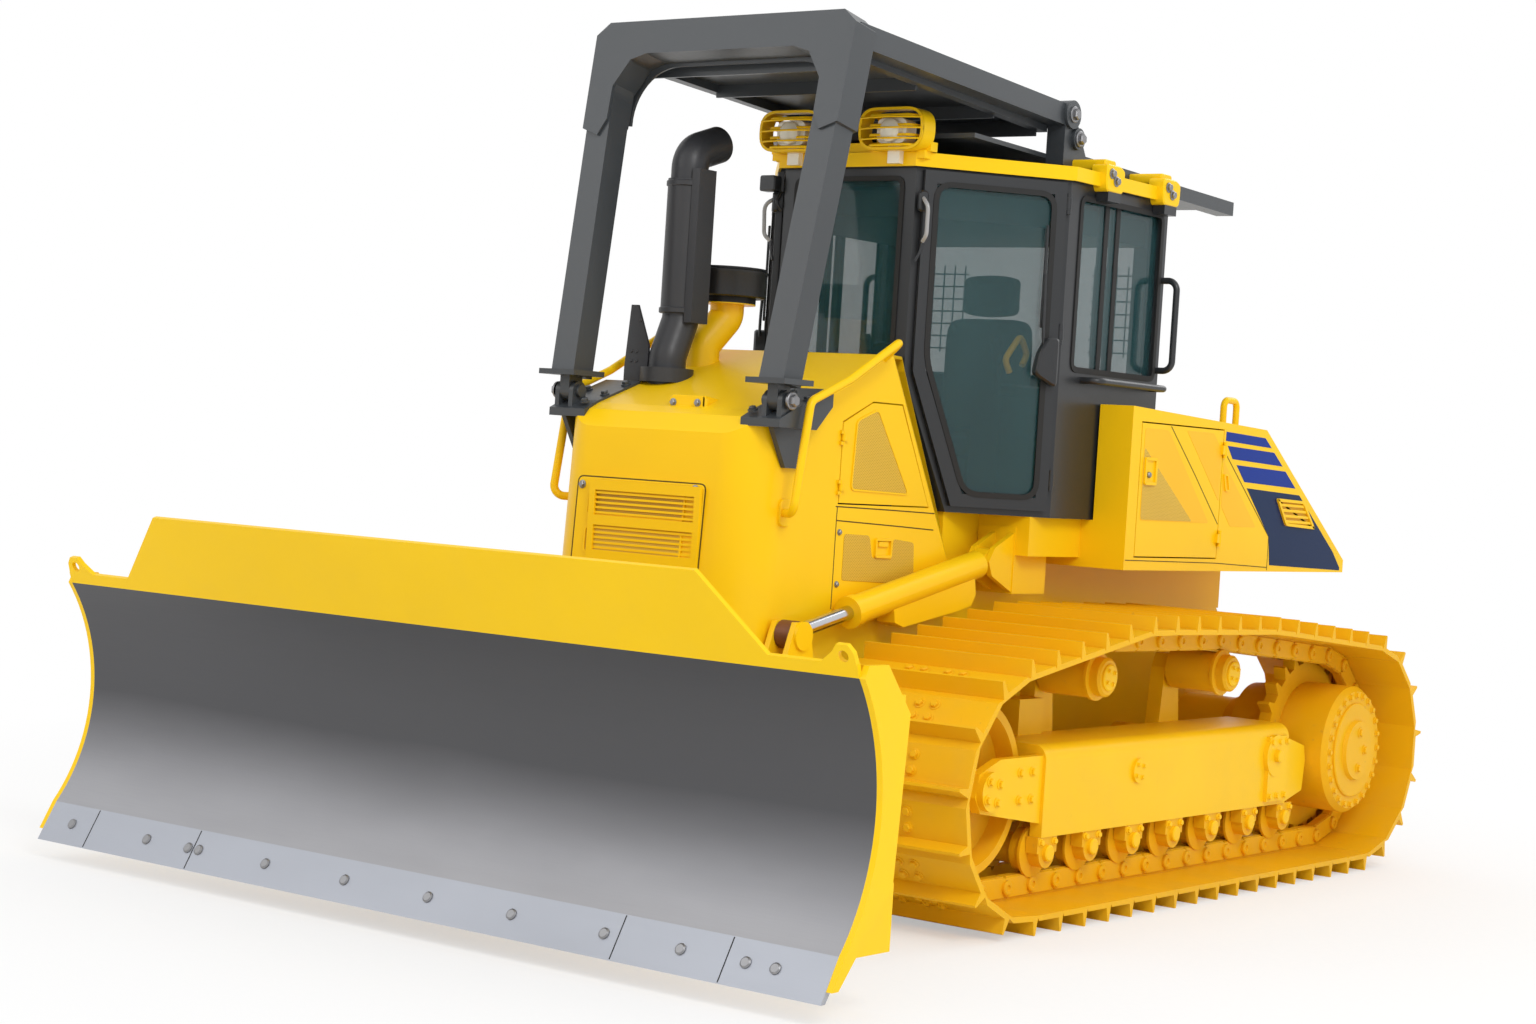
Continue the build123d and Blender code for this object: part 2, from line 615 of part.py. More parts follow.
# Yoke between push frame and blade: it swings about the nose pin and carries the blade's tilt pin
YOKE_BACK_Y = -2905.0
YOKE_FRONT_Y = -2985.0
TILT_PIVOT_R = 60.0
TILT_PIVOT_END_Y = -3095.0
TONGUE_Z = LUG_GAP - REST_GAP
with BuildPart() as blade_yoke:
    with BuildSketch(Plane.XY.offset(NOSE_Z - TONGUE_Z)):
        with Locations((0, NOSE_Y)):
            Circle(NOSE_R - 10)
        with Locations((0, (NOSE_Y + YOKE_BACK_Y) / 2)):
            Rectangle(2 * NOSE_R - 20, NOSE_Y - YOKE_BACK_Y)
    extrude(amount=2 * TONGUE_Z)
    with BuildSketch(Plane.XY.offset(NOSE_Z - LUG_GAP - LUG_PLATE - 12)):
        with Locations((0, NOSE_Y)):
            Circle(NOSE_PIN_R)
    extrude(amount=2 * (LUG_GAP + LUG_PLATE + 12))
    with Locations((0, (YOKE_BACK_Y + YOKE_FRONT_Y) / 2, NOSE_Z)):
        Box(2 * 460, YOKE_BACK_Y - YOKE_FRONT_Y, 200)
    with BuildSketch(Plane.XZ.offset(-YOKE_FRONT_Y)):
        with Locations((0, NOSE_Z)):
            Circle(TILT_PIVOT_R)
    extrude(amount=YOKE_FRONT_Y - TILT_PIVOT_END_Y)
    for side in (-1, 1):
        with Locations((side * 420, (YOKE_BACK_Y + YOKE_FRONT_Y) / 2, ANGLE_Z - 80)):
            Box(90, YOKE_BACK_Y - YOKE_FRONT_Y, 300)
        for low_z in (ANGLE_Z - ANGLE_EAR_IN - ANGLE_EAR_WALL, ANGLE_Z + ANGLE_EAR_IN):
            with BuildSketch(Plane.XY.offset(low_z)):
                with Locations((side * ANGLE_EYE_X, ANGLE_EYE_Y)):
                    Circle(44)
                with Locations((side * ANGLE_EYE_X, (ANGLE_EYE_Y + YOKE_BACK_Y) / 2 - 20)):
                    Rectangle(88, ANGLE_EYE_Y - YOKE_BACK_Y + 30)
            extrude(amount=ANGLE_EAR_WALL)
        with Locations((side * (ANGLE_EYE_X + 10), YOKE_BACK_Y - 25, ANGLE_Z)):
            Box(170, 60, 2 * ANGLE_EAR_IN, mode=Mode.SUBTRACT)
    with Locations((-TILT_HALF, YOKE_BACK_Y + 10, (NOSE_Z + TILT_Z) / 2 + 30)):
        Box(110, 20, TILT_Z - NOSE_Z + 80)
    with BuildSketch(Plane.XZ.offset(-YOKE_BACK_Y)):
        with Locations((-TILT_HALF, TILT_Z)):
            Circle(TILT_PIN_R)
    extrude(amount=YOKE_BACK_Y - TILT_Y + 38)

# Mouldboard and what is welded to it
with BuildPart() as mouldboard:
    with BuildSketch(Plane.YZ.offset(-BLADE_HALF)):
        with BuildLine():
            front = ThreePointArc(
                (EDGE_TOP_Y, EDGE_TOP_Z), (BOARD_MID_Y, BOARD_MID_Z), (BOARD_TOP_Y, BOARD_TOP_Z),
            )
            Line((BOARD_TOP_Y, BOARD_TOP_Z), (BOARD_TOP_Y + BLADE_PLATE, BOARD_TOP_Z))
            ThreePointArc(
                (BOARD_TOP_Y + BLADE_PLATE, BOARD_TOP_Z), (BOARD_MID_Y + BLADE_PLATE, BOARD_MID_Z),
                (EDGE_TOP_Y + BLADE_PLATE, EDGE_TOP_Z),
            )
            Line((EDGE_TOP_Y + BLADE_PLATE, EDGE_TOP_Z), (EDGE_TOP_Y, EDGE_TOP_Z))
        make_face()
    extrude(amount=2 * BLADE_HALF)

with BuildPart() as cutting_edge:
    with BuildSketch(Plane.YZ.offset(-BLADE_HALF)):
        with BuildLine():
            Polyline(
                (EDGE_LOW_Y, EDGE_LOW_Z), (EDGE_TOP_Y, EDGE_TOP_Z), (EDGE_TOP_Y + BLADE_PLATE, EDGE_TOP_Z),
                (EDGE_TOP_Y + BLADE_PLATE, EDGE_TOP_Z - 20), (EDGE_LOW_Y + 24, EDGE_LOW_Z), close=True,
            )
        make_face()
    extrude(amount=2 * BLADE_HALF)

END_PLATE = 23.0
with BuildPart() as blade_back:
    for low_z, high_z in ((EDGE_TOP_Z - 15, EDGE_TOP_Z + 210), (BOARD_TOP_Z - 240, BOARD_TOP_Z - 60)):
        with BuildSketch(Plane.YZ.offset(-BLADE_HALF)):
            with BuildLine():
                ThreePointArc(
                    (BOARD_TOP_Y + BLADE_PLATE, BOARD_TOP_Z), (BOARD_MID_Y + BLADE_PLATE, BOARD_MID_Z),
                    (EDGE_TOP_Y + BLADE_PLATE, EDGE_TOP_Z),
                )
                Polyline(
                    (EDGE_TOP_Y + BLADE_PLATE, EDGE_TOP_Z), (EDGE_TOP_Y + BLADE_PLATE, EDGE_TOP_Z - 15),
                    (BLADE_BACK_Y, EDGE_TOP_Z - 15), (BLADE_BACK_Y, BOARD_TOP_Z),
                    (BOARD_TOP_Y + BLADE_PLATE, BOARD_TOP_Z),
                )
            make_face()
            with Locations((BLADE_BACK_Y, (low_z + high_z) / 2)):
                Rectangle(700, high_z - low_z, mode=Mode.INTERSECT)
        extrude(amount=2 * BLADE_HALF)
    with BuildSketch(Plane.YZ.offset(-190)):
        with BuildLine():
            ThreePointArc(
                (BOARD_TOP_Y + BLADE_PLATE, BOARD_TOP_Z), (BOARD_MID_Y + BLADE_PLATE, BOARD_MID_Z),
                (EDGE_TOP_Y + BLADE_PLATE, EDGE_TOP_Z),
            )
            Polyline(
                (EDGE_TOP_Y + BLADE_PLATE, EDGE_TOP_Z), (YOKE_FRONT_Y - REST_GAP, EDGE_TOP_Z + 20),
                (YOKE_FRONT_Y - REST_GAP, NOSE_Z + 140), (BLADE_BACK_Y - 20, BOARD_TOP_Z - 100),
                (BOARD_TOP_Y + BLADE_PLATE, BOARD_TOP_Z),
            )
        make_face()
    extrude(amount=380)
    with BuildSketch(Plane.XZ.offset(-YOKE_FRONT_Y)):
        with Locations((0, NOSE_Z)):
            Circle(TILT_PIVOT_R + RUN_FIT)
    extrude(amount=YOKE_FRONT_Y - TILT_PIVOT_END_Y + 6, mode=Mode.SUBTRACT)
    for cheek_y in (TILT_Y - 40, TILT_Y + 40):
        with Locations((TILT_HALF, cheek_y, TILT_Z)):
            Box(110, 20, 110)
    with Locations((TILT_HALF, (BLADE_BACK_Y + TILT_Y) / 2, TILT_Z + 60)):
        Box(110, TILT_Y - BLADE_BACK_Y + 130, 16)
    with Locations((TILT_HALF, (BLADE_BACK_Y + TILT_Y - 30) / 2 - 10, TILT_Z)):
        Box(110, (TILT_Y - 30) - BLADE_BACK_Y + 20, 110)

lean_y = GUARD_TOP_Y - BOARD_TOP_Y
lean_z = GUARD_TOP_Z - BOARD_TOP_Z
GUARD_SLOPE = hypot(lean_y, lean_z)
EAR_AT = 1886.0
GUARD_RIBS = (-1120, -380, 380, 1120)
with BuildPart() as blade_guard:
    guard_plane = Plane(
        origin=(0, BOARD_TOP_Y, BOARD_TOP_Z), x_dir=(1, 0, 0), z_dir=(
            0, lean_z / GUARD_SLOPE, -lean_y / GUARD_SLOPE,
        )
    )
    STRIP = (STRIP_TOP_Z - BOARD_TOP_Z) / lean_z * GUARD_SLOPE
    with BuildSketch(Plane(origin=guard_plane.origin, x_dir=(1, 0, 0), z_dir=-guard_plane.z_dir)):
        with BuildLine():
            Polyline(
                (-BLADE_HALF, 0), (BLADE_HALF, 0), (BLADE_HALF, STRIP), (GUARD_LOW_HALF, STRIP),
                (GUARD_TOP_HALF, GUARD_SLOPE), (-GUARD_TOP_HALF, GUARD_SLOPE), (-GUARD_LOW_HALF, STRIP),
                (-BLADE_HALF, STRIP), close=True,
            )
        make_face()
        for side in (-1, 1):
            with BuildLine():
                Polyline(
                    (side * BLADE_HALF, STRIP - 20), (side * (EAR_AT + 42), STRIP + 40),
                    (side * (EAR_AT + 22), STRIP + 66),
                    (side * (EAR_AT - 22), STRIP + 66), (side * (EAR_AT - 42), STRIP + 40),
                    (side * (EAR_AT - 120), STRIP - 20),
                    close=True,
                )
            make_face()
            with Locations((side * EAR_AT, STRIP + 26)):
                Circle(20, mode=Mode.SUBTRACT)
    extrude(amount=-18)
    for rib_x in GUARD_RIBS:
        with BuildSketch(Plane.YZ.offset(rib_x - 9)):
            with BuildLine():
                Polyline(
                    (BOARD_TOP_Y + 10, BOARD_TOP_Z + 12), (BOARD_TOP_Y + 135, BOARD_TOP_Z + 12),
                    (GUARD_TOP_Y + 17, GUARD_TOP_Z - 14), close=True,
                )
            make_face()
        extrude(amount=18)
    for side in (-1, 1):
        with BuildSketch(Plane.YZ.offset(side * BLADE_HALF)):
            with BuildLine():
                ThreePointArc(
                    (EDGE_TOP_Y, EDGE_TOP_Z), (BOARD_MID_Y, BOARD_MID_Z), (BOARD_TOP_Y, BOARD_TOP_Z),
                )
                Polyline(
                    (BOARD_TOP_Y, BOARD_TOP_Z), (BOARD_TOP_Y + 20, STRIP_TOP_Z),
                    (BOARD_TOP_Y + 130, STRIP_TOP_Z),
                    (BLADE_BACK_Y, BOARD_TOP_Z - 120), (BLADE_BACK_Y - 40, 420),
                    (EDGE_LOW_Y + 60, EDGE_LOW_Z + 40),
                    (EDGE_LOW_Y + 24, EDGE_LOW_Z + 40), (EDGE_TOP_Y, EDGE_TOP_Z),
                )
            make_face()
        extrude(amount=side * END_PLATE)

# Lift cylinders
lift_dy = LIFT_ROD_Y - LIFT_BASE_Y
lift_dz = LIFT_ROD_Z - LIFT_BASE_Z
lift_span = hypot(lift_dy, lift_dz)


def cylinder_plane(base, way, across):
    """A plane at a pin whose local x runs along the cylinder and whose normal is the pin's axis."""
    return Plane(origin=base, x_dir=way, z_dir=across)


lift_way = (0, lift_dy / lift_span, lift_dz / lift_span)


BARREL_NECK = 14.0


def barrel(base, way, across, radius, length, eye_r, eye_half, pin_r, rod_r):
    """A cylinder barrel: an eye on its pin, a tube with a gland at the far end and a bore for the rod."""
    plane = cylinder_plane(base, way, across)
    cross = Plane(origin=base, x_dir=across, z_dir=way)
    with BuildPart() as made:
        with BuildSketch(plane):
            Circle(eye_r)
            with Locations((eye_r / 2 + BARREL_NECK / 2, 0)):
                Rectangle(eye_r + BARREL_NECK, 1.4 * eye_r)
        extrude(amount=eye_half, both=True)
        with BuildSketch(cross.offset(eye_r + BARREL_NECK)):
            Circle(radius)
        extrude(amount=length - eye_r - BARREL_NECK)
        with BuildSketch(plane):
            Circle(pin_r + RUN_FIT)
        extrude(amount=eye_half + 1, both=True, mode=Mode.SUBTRACT)
        with BuildSketch(cross.offset(eye_r + BARREL_NECK + 4)):
            Circle(rod_r + RUN_FIT)
        extrude(amount=length, mode=Mode.SUBTRACT)
    return made.part


def rod(eye, way, across, radius, length, eye_r, eye_half):
    """A piston rod with a round eye at its outer end; it reaches back along the way by its length."""
    plane = cylinder_plane(eye, way, across)
    cross = Plane(origin=eye, x_dir=across, z_dir=way)
    with BuildPart() as made:
        with BuildSketch(plane):
            Circle(eye_r)
        extrude(amount=eye_half, both=True)
        with BuildSketch(cross.offset(-length)):
            Circle(radius)
        extrude(amount=length - eye_r * 0.6)
    return made.part


LIFT_EYE_R = 56.0
HOSE_GUARD_HALF = 44.0
lift_axis = Plane(origin=(LIFT_X, LIFT_BASE_Y, LIFT_BASE_Z), x_dir=(1, 0, 0), z_dir=lift_way)
with BuildPart() as lift_barrel_left:
    add(barrel((LIFT_X, LIFT_BASE_Y, LIFT_BASE_Z), lift_way, (1, 0, 0), LIFT_R, LIFT_BARREL, LIFT_EYE_R,
               BARREL_EYE_HALF, LIFT_PIN_R, LIFT_ROD_R))
    with BuildSketch(Plane(origin=(LIFT_X - HOSE_GUARD_HALF, LIFT_BASE_Y, LIFT_BASE_Z), x_dir=lift_way,
                           z_dir=(1, 0, 0))):
        with BuildLine():
            Polyline(
                (150, 40), (LIFT_BARREL - 260, 40), (LIFT_BARREL - 260, 96), (LIFT_BARREL - 320, 128),
                (300, 150), (190, 150), (150, 110), close=True,
            )
        make_face()
    extrude(amount=2 * HOSE_GUARD_HALF)
    with BuildSketch(lift_axis.offset(LIFT_EYE_R + BARREL_NECK + 4)):
        Circle(LIFT_ROD_R + RUN_FIT)
    extrude(amount=LIFT_BARREL, mode=Mode.SUBTRACT)
    with BuildSketch(lift_axis.offset(LIFT_BARREL - 50)):
        Circle(LIFT_R + 6)
        Circle(LIFT_ROD_R + RUN_FIT, mode=Mode.SUBTRACT)
    extrude(amount=50)
with BuildPart() as lift_barrel_right:
    mirror(lift_barrel_left.part, about=Plane.YZ)
with BuildPart() as lift_rod_left:
    add(rod((LIFT_X, LIFT_ROD_Y, LIFT_ROD_Z), lift_way, (1, 0, 0), LIFT_ROD_R, LIFT_ROD_LENGTH, LIFT_EYE_R,
            BARREL_EYE_HALF))
with BuildPart() as lift_rod_right:
    mirror(lift_rod_left.part, about=Plane.YZ)

# Angle cylinders
angle_dx = ANGLE_EYE_X - ANGLE_BASE_X
angle_dy = ANGLE_EYE_Y - ANGLE_BASE_Y
angle_span = hypot(angle_dx, angle_dy)
angle_way = (angle_dx / angle_span, angle_dy / angle_span, 0)
ANGLE_HALF = ANGLE_EAR_IN - 1
with BuildPart() as angle_barrel_left:
    add(barrel((ANGLE_BASE_X, ANGLE_BASE_Y, ANGLE_Z), angle_way, (0, 0, 1), ANGLE_R - 4, ANGLE_BARREL, 42,
               ANGLE_HALF, ANGLE_PIN_R, ANGLE_ROD_R))
with BuildPart() as angle_barrel_right:
    mirror(angle_barrel_left.part, about=Plane.YZ)
with BuildPart() as angle_rod_left:
    add(rod((ANGLE_EYE_X, ANGLE_EYE_Y, ANGLE_Z), angle_way, (0, 0, 1), ANGLE_ROD_R, ANGLE_ROD_LENGTH, 38,
            ANGLE_HALF))
with BuildPart() as angle_rod_right:
    mirror(angle_rod_left.part, about=Plane.YZ)

# Tilt cylinder, across the machine behind the blade
with BuildPart() as tilt_barrel:
    add(barrel((-TILT_HALF, TILT_Y, TILT_Z), (1, 0, 0), (0, 1, 0), TILT_R - 4, TILT_BARREL, 44, 28,
               TILT_PIN_R, TILT_ROD_R))
with BuildPart() as tilt_rod:
    add(rod((TILT_HALF, TILT_Y, TILT_Z), (1, 0, 0), (0, 1, 0), TILT_ROD_R, TILT_ROD_LENGTH, 40, 28))

# Engine as one plain block
ENGINE_HEIGHT = 1040.0
with BuildPart() as engine_block:
    with Locations((0, -1260, 600 + ENGINE_HEIGHT / 2)):
        Box(640, 940, ENGINE_HEIGHT)

# Hood
REAR_CUT = [
    (HOOD_HALF, HOOD_TOP_REAR_Y, HOOD_TOP_REAR_Z), (HOOD_HALF, HOOD_SIDE_REAR_Y, HOOD_SIDE_REAR_Z),
    (CAB_FRONT_HALF, CAB_FRONT_Y - 15, HOOD_TOP_REAR_Z),
]


GRILLE_HALF = 284.0
HOOD_HINGES = (1680.0, 1880.0)


def hood_solid(inset):
    """The hood's outer form, or the same form drawn inwards by an inset."""
    with BuildPart() as made:
        with BuildSketch(Plane.YZ):
            with BuildLine():
                Polyline(
                    (HOOD_FRONT_Y + inset, HOOD_LOW_Z), (HOOD_FRONT_Y + inset + 45, HOOD_NOSE_Z - 40 - inset),
                    (HOOD_FRONT_Y + inset + 110, HOOD_NOSE_Z + 30 - inset),
                    (HOOD_TOP_FRONT_Y, HOOD_TOP_FRONT_Z - inset),
                    (HOOD_TOP_REAR_Y, HOOD_TOP_REAR_Z - inset),
                    (CAB_FRONT_Y - 15 - inset, HOOD_TOP_REAR_Z - inset + 10),
                    (CAB_FRONT_Y - 15 - inset, CAB_KNEE_Z),
                    (CAB_LOW_FRONT_Y - 15 - inset, CAB_LOW_Z), (CAB_LOW_FRONT_Y - 15 - inset, HOOD_LOW_Z),
                    close=True,
                )
            make_face()
        extrude(amount=HOOD_HALF - inset, both=True)
        corners = made.edges().filter_by(lambda e: e.length > 250 and abs(e.tangent_at(0.5).X) < 0.01)
        front_corners = [
            e for e in corners if e.center().Y < HOOD_FRONT_Y + inset + 60 and abs(e.tangent_at(0.5).Z) > 0.8
        ]
        fillet(front_corners, HOOD_CORNER_R - inset)
    return made.part


with BuildPart() as hood_shell:
    add(hood_solid(0))
    add(hood_solid(HOOD_WALL).moved(Location((0, 0, -0.01))), mode=Mode.SUBTRACT)
    for side in (-1, 1):
        p, q, r = [Vector(side * x, y, z) for x, y, z in REAR_CUT]
        outward = (q - p).cross(r - p).normalized()
        if outward.Y < 0:
            outward = -outward
        with BuildSketch(Plane(origin=p, z_dir=outward)):
            Rectangle(3000, 3000)
        extrude(amount=900, mode=Mode.SUBTRACT)
        with BuildSketch(Plane.YZ.offset(side * (HOOD_HALF - 2 * HOOD_WALL))):
            with BuildLine():
                Polyline(
                    (DOOR_FRONT_Y - PANEL_GAP, DOOR_LOW_Z - PANEL_GAP),
                    (DOOR_FRONT_Y - PANEL_GAP, DOOR_TOP_Z - 90 + PANEL_GAP),
                    (DOOR_FRONT_Y + 200, DOOR_TOP_Z + PANEL_GAP), (-1052 + PANEL_GAP, DOOR_TOP_Z + PANEL_GAP),
                    (-812 + PANEL_GAP, DOOR_LOW_Z - PANEL_GAP), close=True,
                )
            make_face()
        extrude(amount=side * 3 * HOOD_WALL, mode=Mode.SUBTRACT)
        for pin_z in HOOD_HINGES:
            with Locations((side * (HOOD_HALF + 9), DOOR_FRONT_Y - 5, pin_z)):
                Cylinder(5, 60)
            with Locations((side * (HOOD_HALF + 4), DOOR_FRONT_Y - 13, pin_z + 22)):
                Box(14, 20, 14)
            with Locations((side * (HOOD_HALF + 4), DOOR_FRONT_Y - 13, pin_z - 22)):
                Box(14, 20, 14)
    with Locations((0, HOOD_FRONT_Y + 10, 1490)):
        Box(2 * GRILLE_HALF, 80, 320, mode=Mode.SUBTRACT)

with BuildPart() as front_grille:
    with Locations((0, HOOD_FRONT_Y + 12, 1490)):
        Box(2 * GRILLE_HALF - 2 * REST_GAP, 14, 320 - 2 * REST_GAP)
    with Locations((0, HOOD_FRONT_Y + 12, 1420), (0, HOOD_FRONT_Y + 12, 1560)):
        Box(2 * GRILLE_HALF - 60, 30, 100, mode=Mode.SUBTRACT)
    for field_z in (1420, 1560):
        with Locations(*[(0, HOOD_FRONT_Y + 14, field_z - 40 + 20 * k) for k in range(5)]):
            Box(2 * GRILLE_HALF - 60, 8, 9)


def engine_door(side):
    """The engine side door, with its knuckles on the hinge at the front edge."""
    with BuildPart() as made:
        with BuildSketch(Plane.YZ.offset(side * (HOOD_HALF - HOOD_WALL))):
            with BuildLine():
                Polyline(
                    (DOOR_FRONT_Y, DOOR_LOW_Z), (DOOR_FRONT_Y, DOOR_TOP_Z - 90),
                    (DOOR_FRONT_Y + 200, DOOR_TOP_Z),
                    (-1052, DOOR_TOP_Z), (-812, DOOR_LOW_Z), close=True,
                )
            make_face()
        extrude(amount=side * HOOD_WALL)
        for pin_z in HOOD_HINGES:
            with Locations((side * (HOOD_HALF + 9), DOOR_FRONT_Y - 5, pin_z)):
                Cylinder(9, 26)
            with Locations((side * (HOOD_HALF + 9), DOOR_FRONT_Y + 12, pin_z)):
                Box(6, 34, 26)
            with Locations((side * (HOOD_HALF + 3), DOOR_FRONT_Y + 22, pin_z)):
                Box(8, 14, 26)
            with Locations((side * (HOOD_HALF + 9), DOOR_FRONT_Y - 5, pin_z)):
                Cylinder(5 + RUN_FIT, 40, mode=Mode.SUBTRACT)
    return made.part


with BuildPart() as engine_door_left:
    add(engine_door(1))
with BuildPart() as engine_door_right:
    add(engine_door(-1))

# Exhaust stack with its bend and elbow, and the air pre-cleaner on its offset pipe
STACK_X = -330.0
STACK_Y = -1560.0
STACK_R = 78.0
STACK_LEAN = 70.0
STACK_MID_Z = 2640.0
CLEANER_FOOT = (-330.0, -1330.0)
CLEANER = (-290.0, -1230.0)
CLEANER_PIPE_R = 72.0
CLEANER_Z = 2440.0


def hood_top_at(y):
    """The height of the hood's top at a place along the machine."""
    share = (y - HOOD_TOP_FRONT_Y) / (HOOD_TOP_REAR_Y - HOOD_TOP_FRONT_Y)
    return HOOD_TOP_FRONT_Z + share * (HOOD_TOP_REAR_Z - HOOD_TOP_FRONT_Z)


with BuildPart() as exhaust_stack:
    base_z = hood_top_at(STACK_Y)
    with BuildLine() as stack_path:
        FilletPolyline(
            (STACK_X, STACK_Y, base_z - 30), (STACK_X, STACK_Y, base_z + 90),
            (STACK_X, STACK_Y + STACK_LEAN, base_z + 250),
            (STACK_X, STACK_Y + STACK_LEAN, 3030), (STACK_X, STACK_Y + 250, 3090), radius=90,
        )
    with BuildSketch(Plane.XY.offset(base_z - 30)):
        with Locations((STACK_X, STACK_Y)):
            Circle(STACK_R)
    sweep(path=stack_path.wire())
    with Locations((STACK_X, STACK_Y + STACK_LEAN, STACK_MID_Z)):
        Cylinder(88, 560)
    with Locations((STACK_X, STACK_Y, base_z + 12)):
        Cylinder(112, 60)
    with Locations((STACK_X + 88, STACK_Y + STACK_LEAN - 10, STACK_MID_Z)):
        Box(40, 110, 640)
    with BuildSketch(Plane.XZ.offset(-STACK_Y + 45)):
        with BuildLine():
            Polyline(
                (STACK_X - 60, base_z - 20), (STACK_X - 185, base_z - 20), (STACK_X - 185, base_z + 40),
                (STACK_X - 165, base_z + 300), (STACK_X - 130, base_z + 300), (STACK_X - 60, base_z + 130),
                close=True,
            )
        make_face()
    extrude(amount=12)
    add(hood_solid(0), mode=Mode.SUBTRACT)
with BuildPart() as air_precleaner:
    pipe_z = hood_top_at(CLEANER_FOOT[1])
    with BuildLine() as pipe_path:
        FilletPolyline(
            (*CLEANER_FOOT, pipe_z - 30), (*CLEANER_FOOT, pipe_z + 70), (*CLEANER, pipe_z + 200),
            (*CLEANER, CLEANER_Z), radius=60,
        )
    with BuildSketch(Plane.XY.offset(pipe_z - 30)):
        with Locations(CLEANER_FOOT):
            Circle(CLEANER_PIPE_R)
    sweep(path=pipe_path.wire())
    add(hood_solid(0), mode=Mode.SUBTRACT)
    with Locations((*CLEANER, CLEANER_Z)):
        Cylinder(120, 40)
    with Locations((*CLEANER, CLEANER_Z + 60)):
        Cylinder(150, 90)
    with Locations((*CLEANER, CLEANER_Z + 120)):
        Cylinder(160, 30)


def bent_tube(points, radius, bend):
    """A round tube along points, with its corners rounded."""
    with BuildPart() as made:
        with BuildLine() as path:
            FilletPolyline(points, radius=bend)
        with BuildSketch(Plane(origin=path.wire() @ 0, z_dir=path.wire() % 0)):
            Circle(radius)
        sweep(path=path.wire())
    return made.part


RAIL_R = 17.0
RAIL_X = 620.0
with BuildPart() as hood_rails:
    for side in (-1, 1):
        add(
            bent_tube(
                [
                    (side * (HOOD_HALF - 4), -1830, 1570), (side * RAIL_X, -1900, 1570),
                    (side * RAIL_X, -1830, 2010), (side * RAIL_X, -1579, 2108), (side * RAIL_X, -1230, 2290),
                    (side * 500, -1190, hood_top_at(-1190) - 10),
                ],
                RAIL_R, 45,
            )
        )
    add(hood_solid(0), mode=Mode.SUBTRACT)


def hinge_ears(plane, radius, half, back, heights):
    """Two ears with their pin at each height. The plane's origin is on the axis, its x leads to the fixed
    side and its y leads in to the wall."""
    for height in heights:
        for end in (-1, 1):
            with BuildSketch(plane.offset(height + end * half)) as ear:
                Circle(radius)
                with Locations((radius * 0.4, back / 2)):
                    Rectangle(radius * 1.2, back)
            extrude(ear.sketch, amount=end * half * 0.7)
        with BuildSketch(plane.offset(height - half * 1.7)) as pin:
            Circle(radius * 0.7)
        extrude(pin.sketch, amount=3.4 * half)


def hinge_knuckle(plane, radius, half, reach, depth, pin_r, heights):
    """The door's knuckle and leaf at each height, with a running bore for the pin."""
    for height in heights:
        with BuildSketch(plane.offset(height - half + 1)) as leaf:
            Circle(radius)
            with Locations((-reach / 2, depth / 2 - 6)):
                Rectangle(reach, depth)
        extrude(leaf.sketch, amount=2 * half - 2)
        with BuildSketch(plane.offset(height - half)) as bore:
            Circle(pin_r + RUN_FIT)
        extrude(bore.sketch, amount=2 * half, mode=Mode.SUBTRACT)


# Cab: hexagonal in plan
CAB_PLAN = [
    (CAB_FRONT_HALF, CAB_FRONT_Y), (CAB_HALF, CAB_SIDE_Y), (CAB_HALF, CAB_REAR_SIDE_Y),
    (CAB_REAR_HALF, CAB_REAR_Y),
    (-CAB_REAR_HALF, CAB_REAR_Y), (-CAB_HALF, CAB_REAR_SIDE_Y), (-CAB_HALF, CAB_SIDE_Y),
    (-CAB_FRONT_HALF, CAB_FRONT_Y),
]
DOOR_WIDTH = hypot(CAB_HALF - CAB_FRONT_HALF, CAB_SIDE_Y - CAB_FRONT_Y)


def door_plane(side):
    """The plane of a cab door: local x runs back from the front post, local y is up, local z points out."""
    way = Vector(side * (CAB_HALF - CAB_FRONT_HALF), CAB_SIDE_Y - CAB_FRONT_Y, 0).normalized()
    if side > 0:
        return Plane(origin=(CAB_FRONT_HALF, CAB_FRONT_Y, 0), x_dir=way, z_dir=way.cross(Vector(0, 0, 1)))
    return Plane(origin=(-CAB_FRONT_HALF, CAB_FRONT_Y, 0), x_dir=way, z_dir=way.cross(Vector(0, 0, 1)))


def door_outline(inset):
    """The cab door's five-cornered outline, drawn in by an inset."""
    return [
        (30 + inset, 3040 - inset), (672 - inset, 3040 - inset), (672 - inset, 1625 + inset),
        (236 + inset * 0.85, 1625 + inset), (30 + inset, 2185 + inset * 0.2),
    ]


HINGE_U = 684.0
HINGE_OUT = 26.0
DOOR_IN = 6.0
DOOR_OUT = 34.0
CAB_HINGES = (1760.0, 2390.0, 2950.0)


def cab_volume(inset, low_z, high_z):
    """The cab's outer form drawn in by an inset, with its lower front cut by the sloping toe board."""
    with BuildPart() as made:
        with BuildSketch(Plane.XY.offset(low_z)):
            with BuildLine():
                Polyline(CAB_PLAN, close=True)
            make_face()
            if inset > 0:
                offset(amount=-inset, kind=Kind.INTERSECTION, mode=Mode.REPLACE)
        extrude(amount=high_z - low_z)
        with BuildSketch(Plane.YZ):
            with BuildLine():
                Polyline(
                    (CAB_FRONT_Y - 200, CAB_KNEE_Z), (CAB_FRONT_Y + inset, CAB_KNEE_Z),
                    (CAB_LOW_FRONT_Y + inset, CAB_LOW_Z),
                    (CAB_LOW_FRONT_Y + inset, CAB_LOW_Z - 40), (CAB_FRONT_Y - 200, CAB_LOW_Z - 40),
                    close=True,
                )
            make_face()
        extrude(amount=CAB_HALF + 100, both=True, mode=Mode.SUBTRACT)
    return made.part


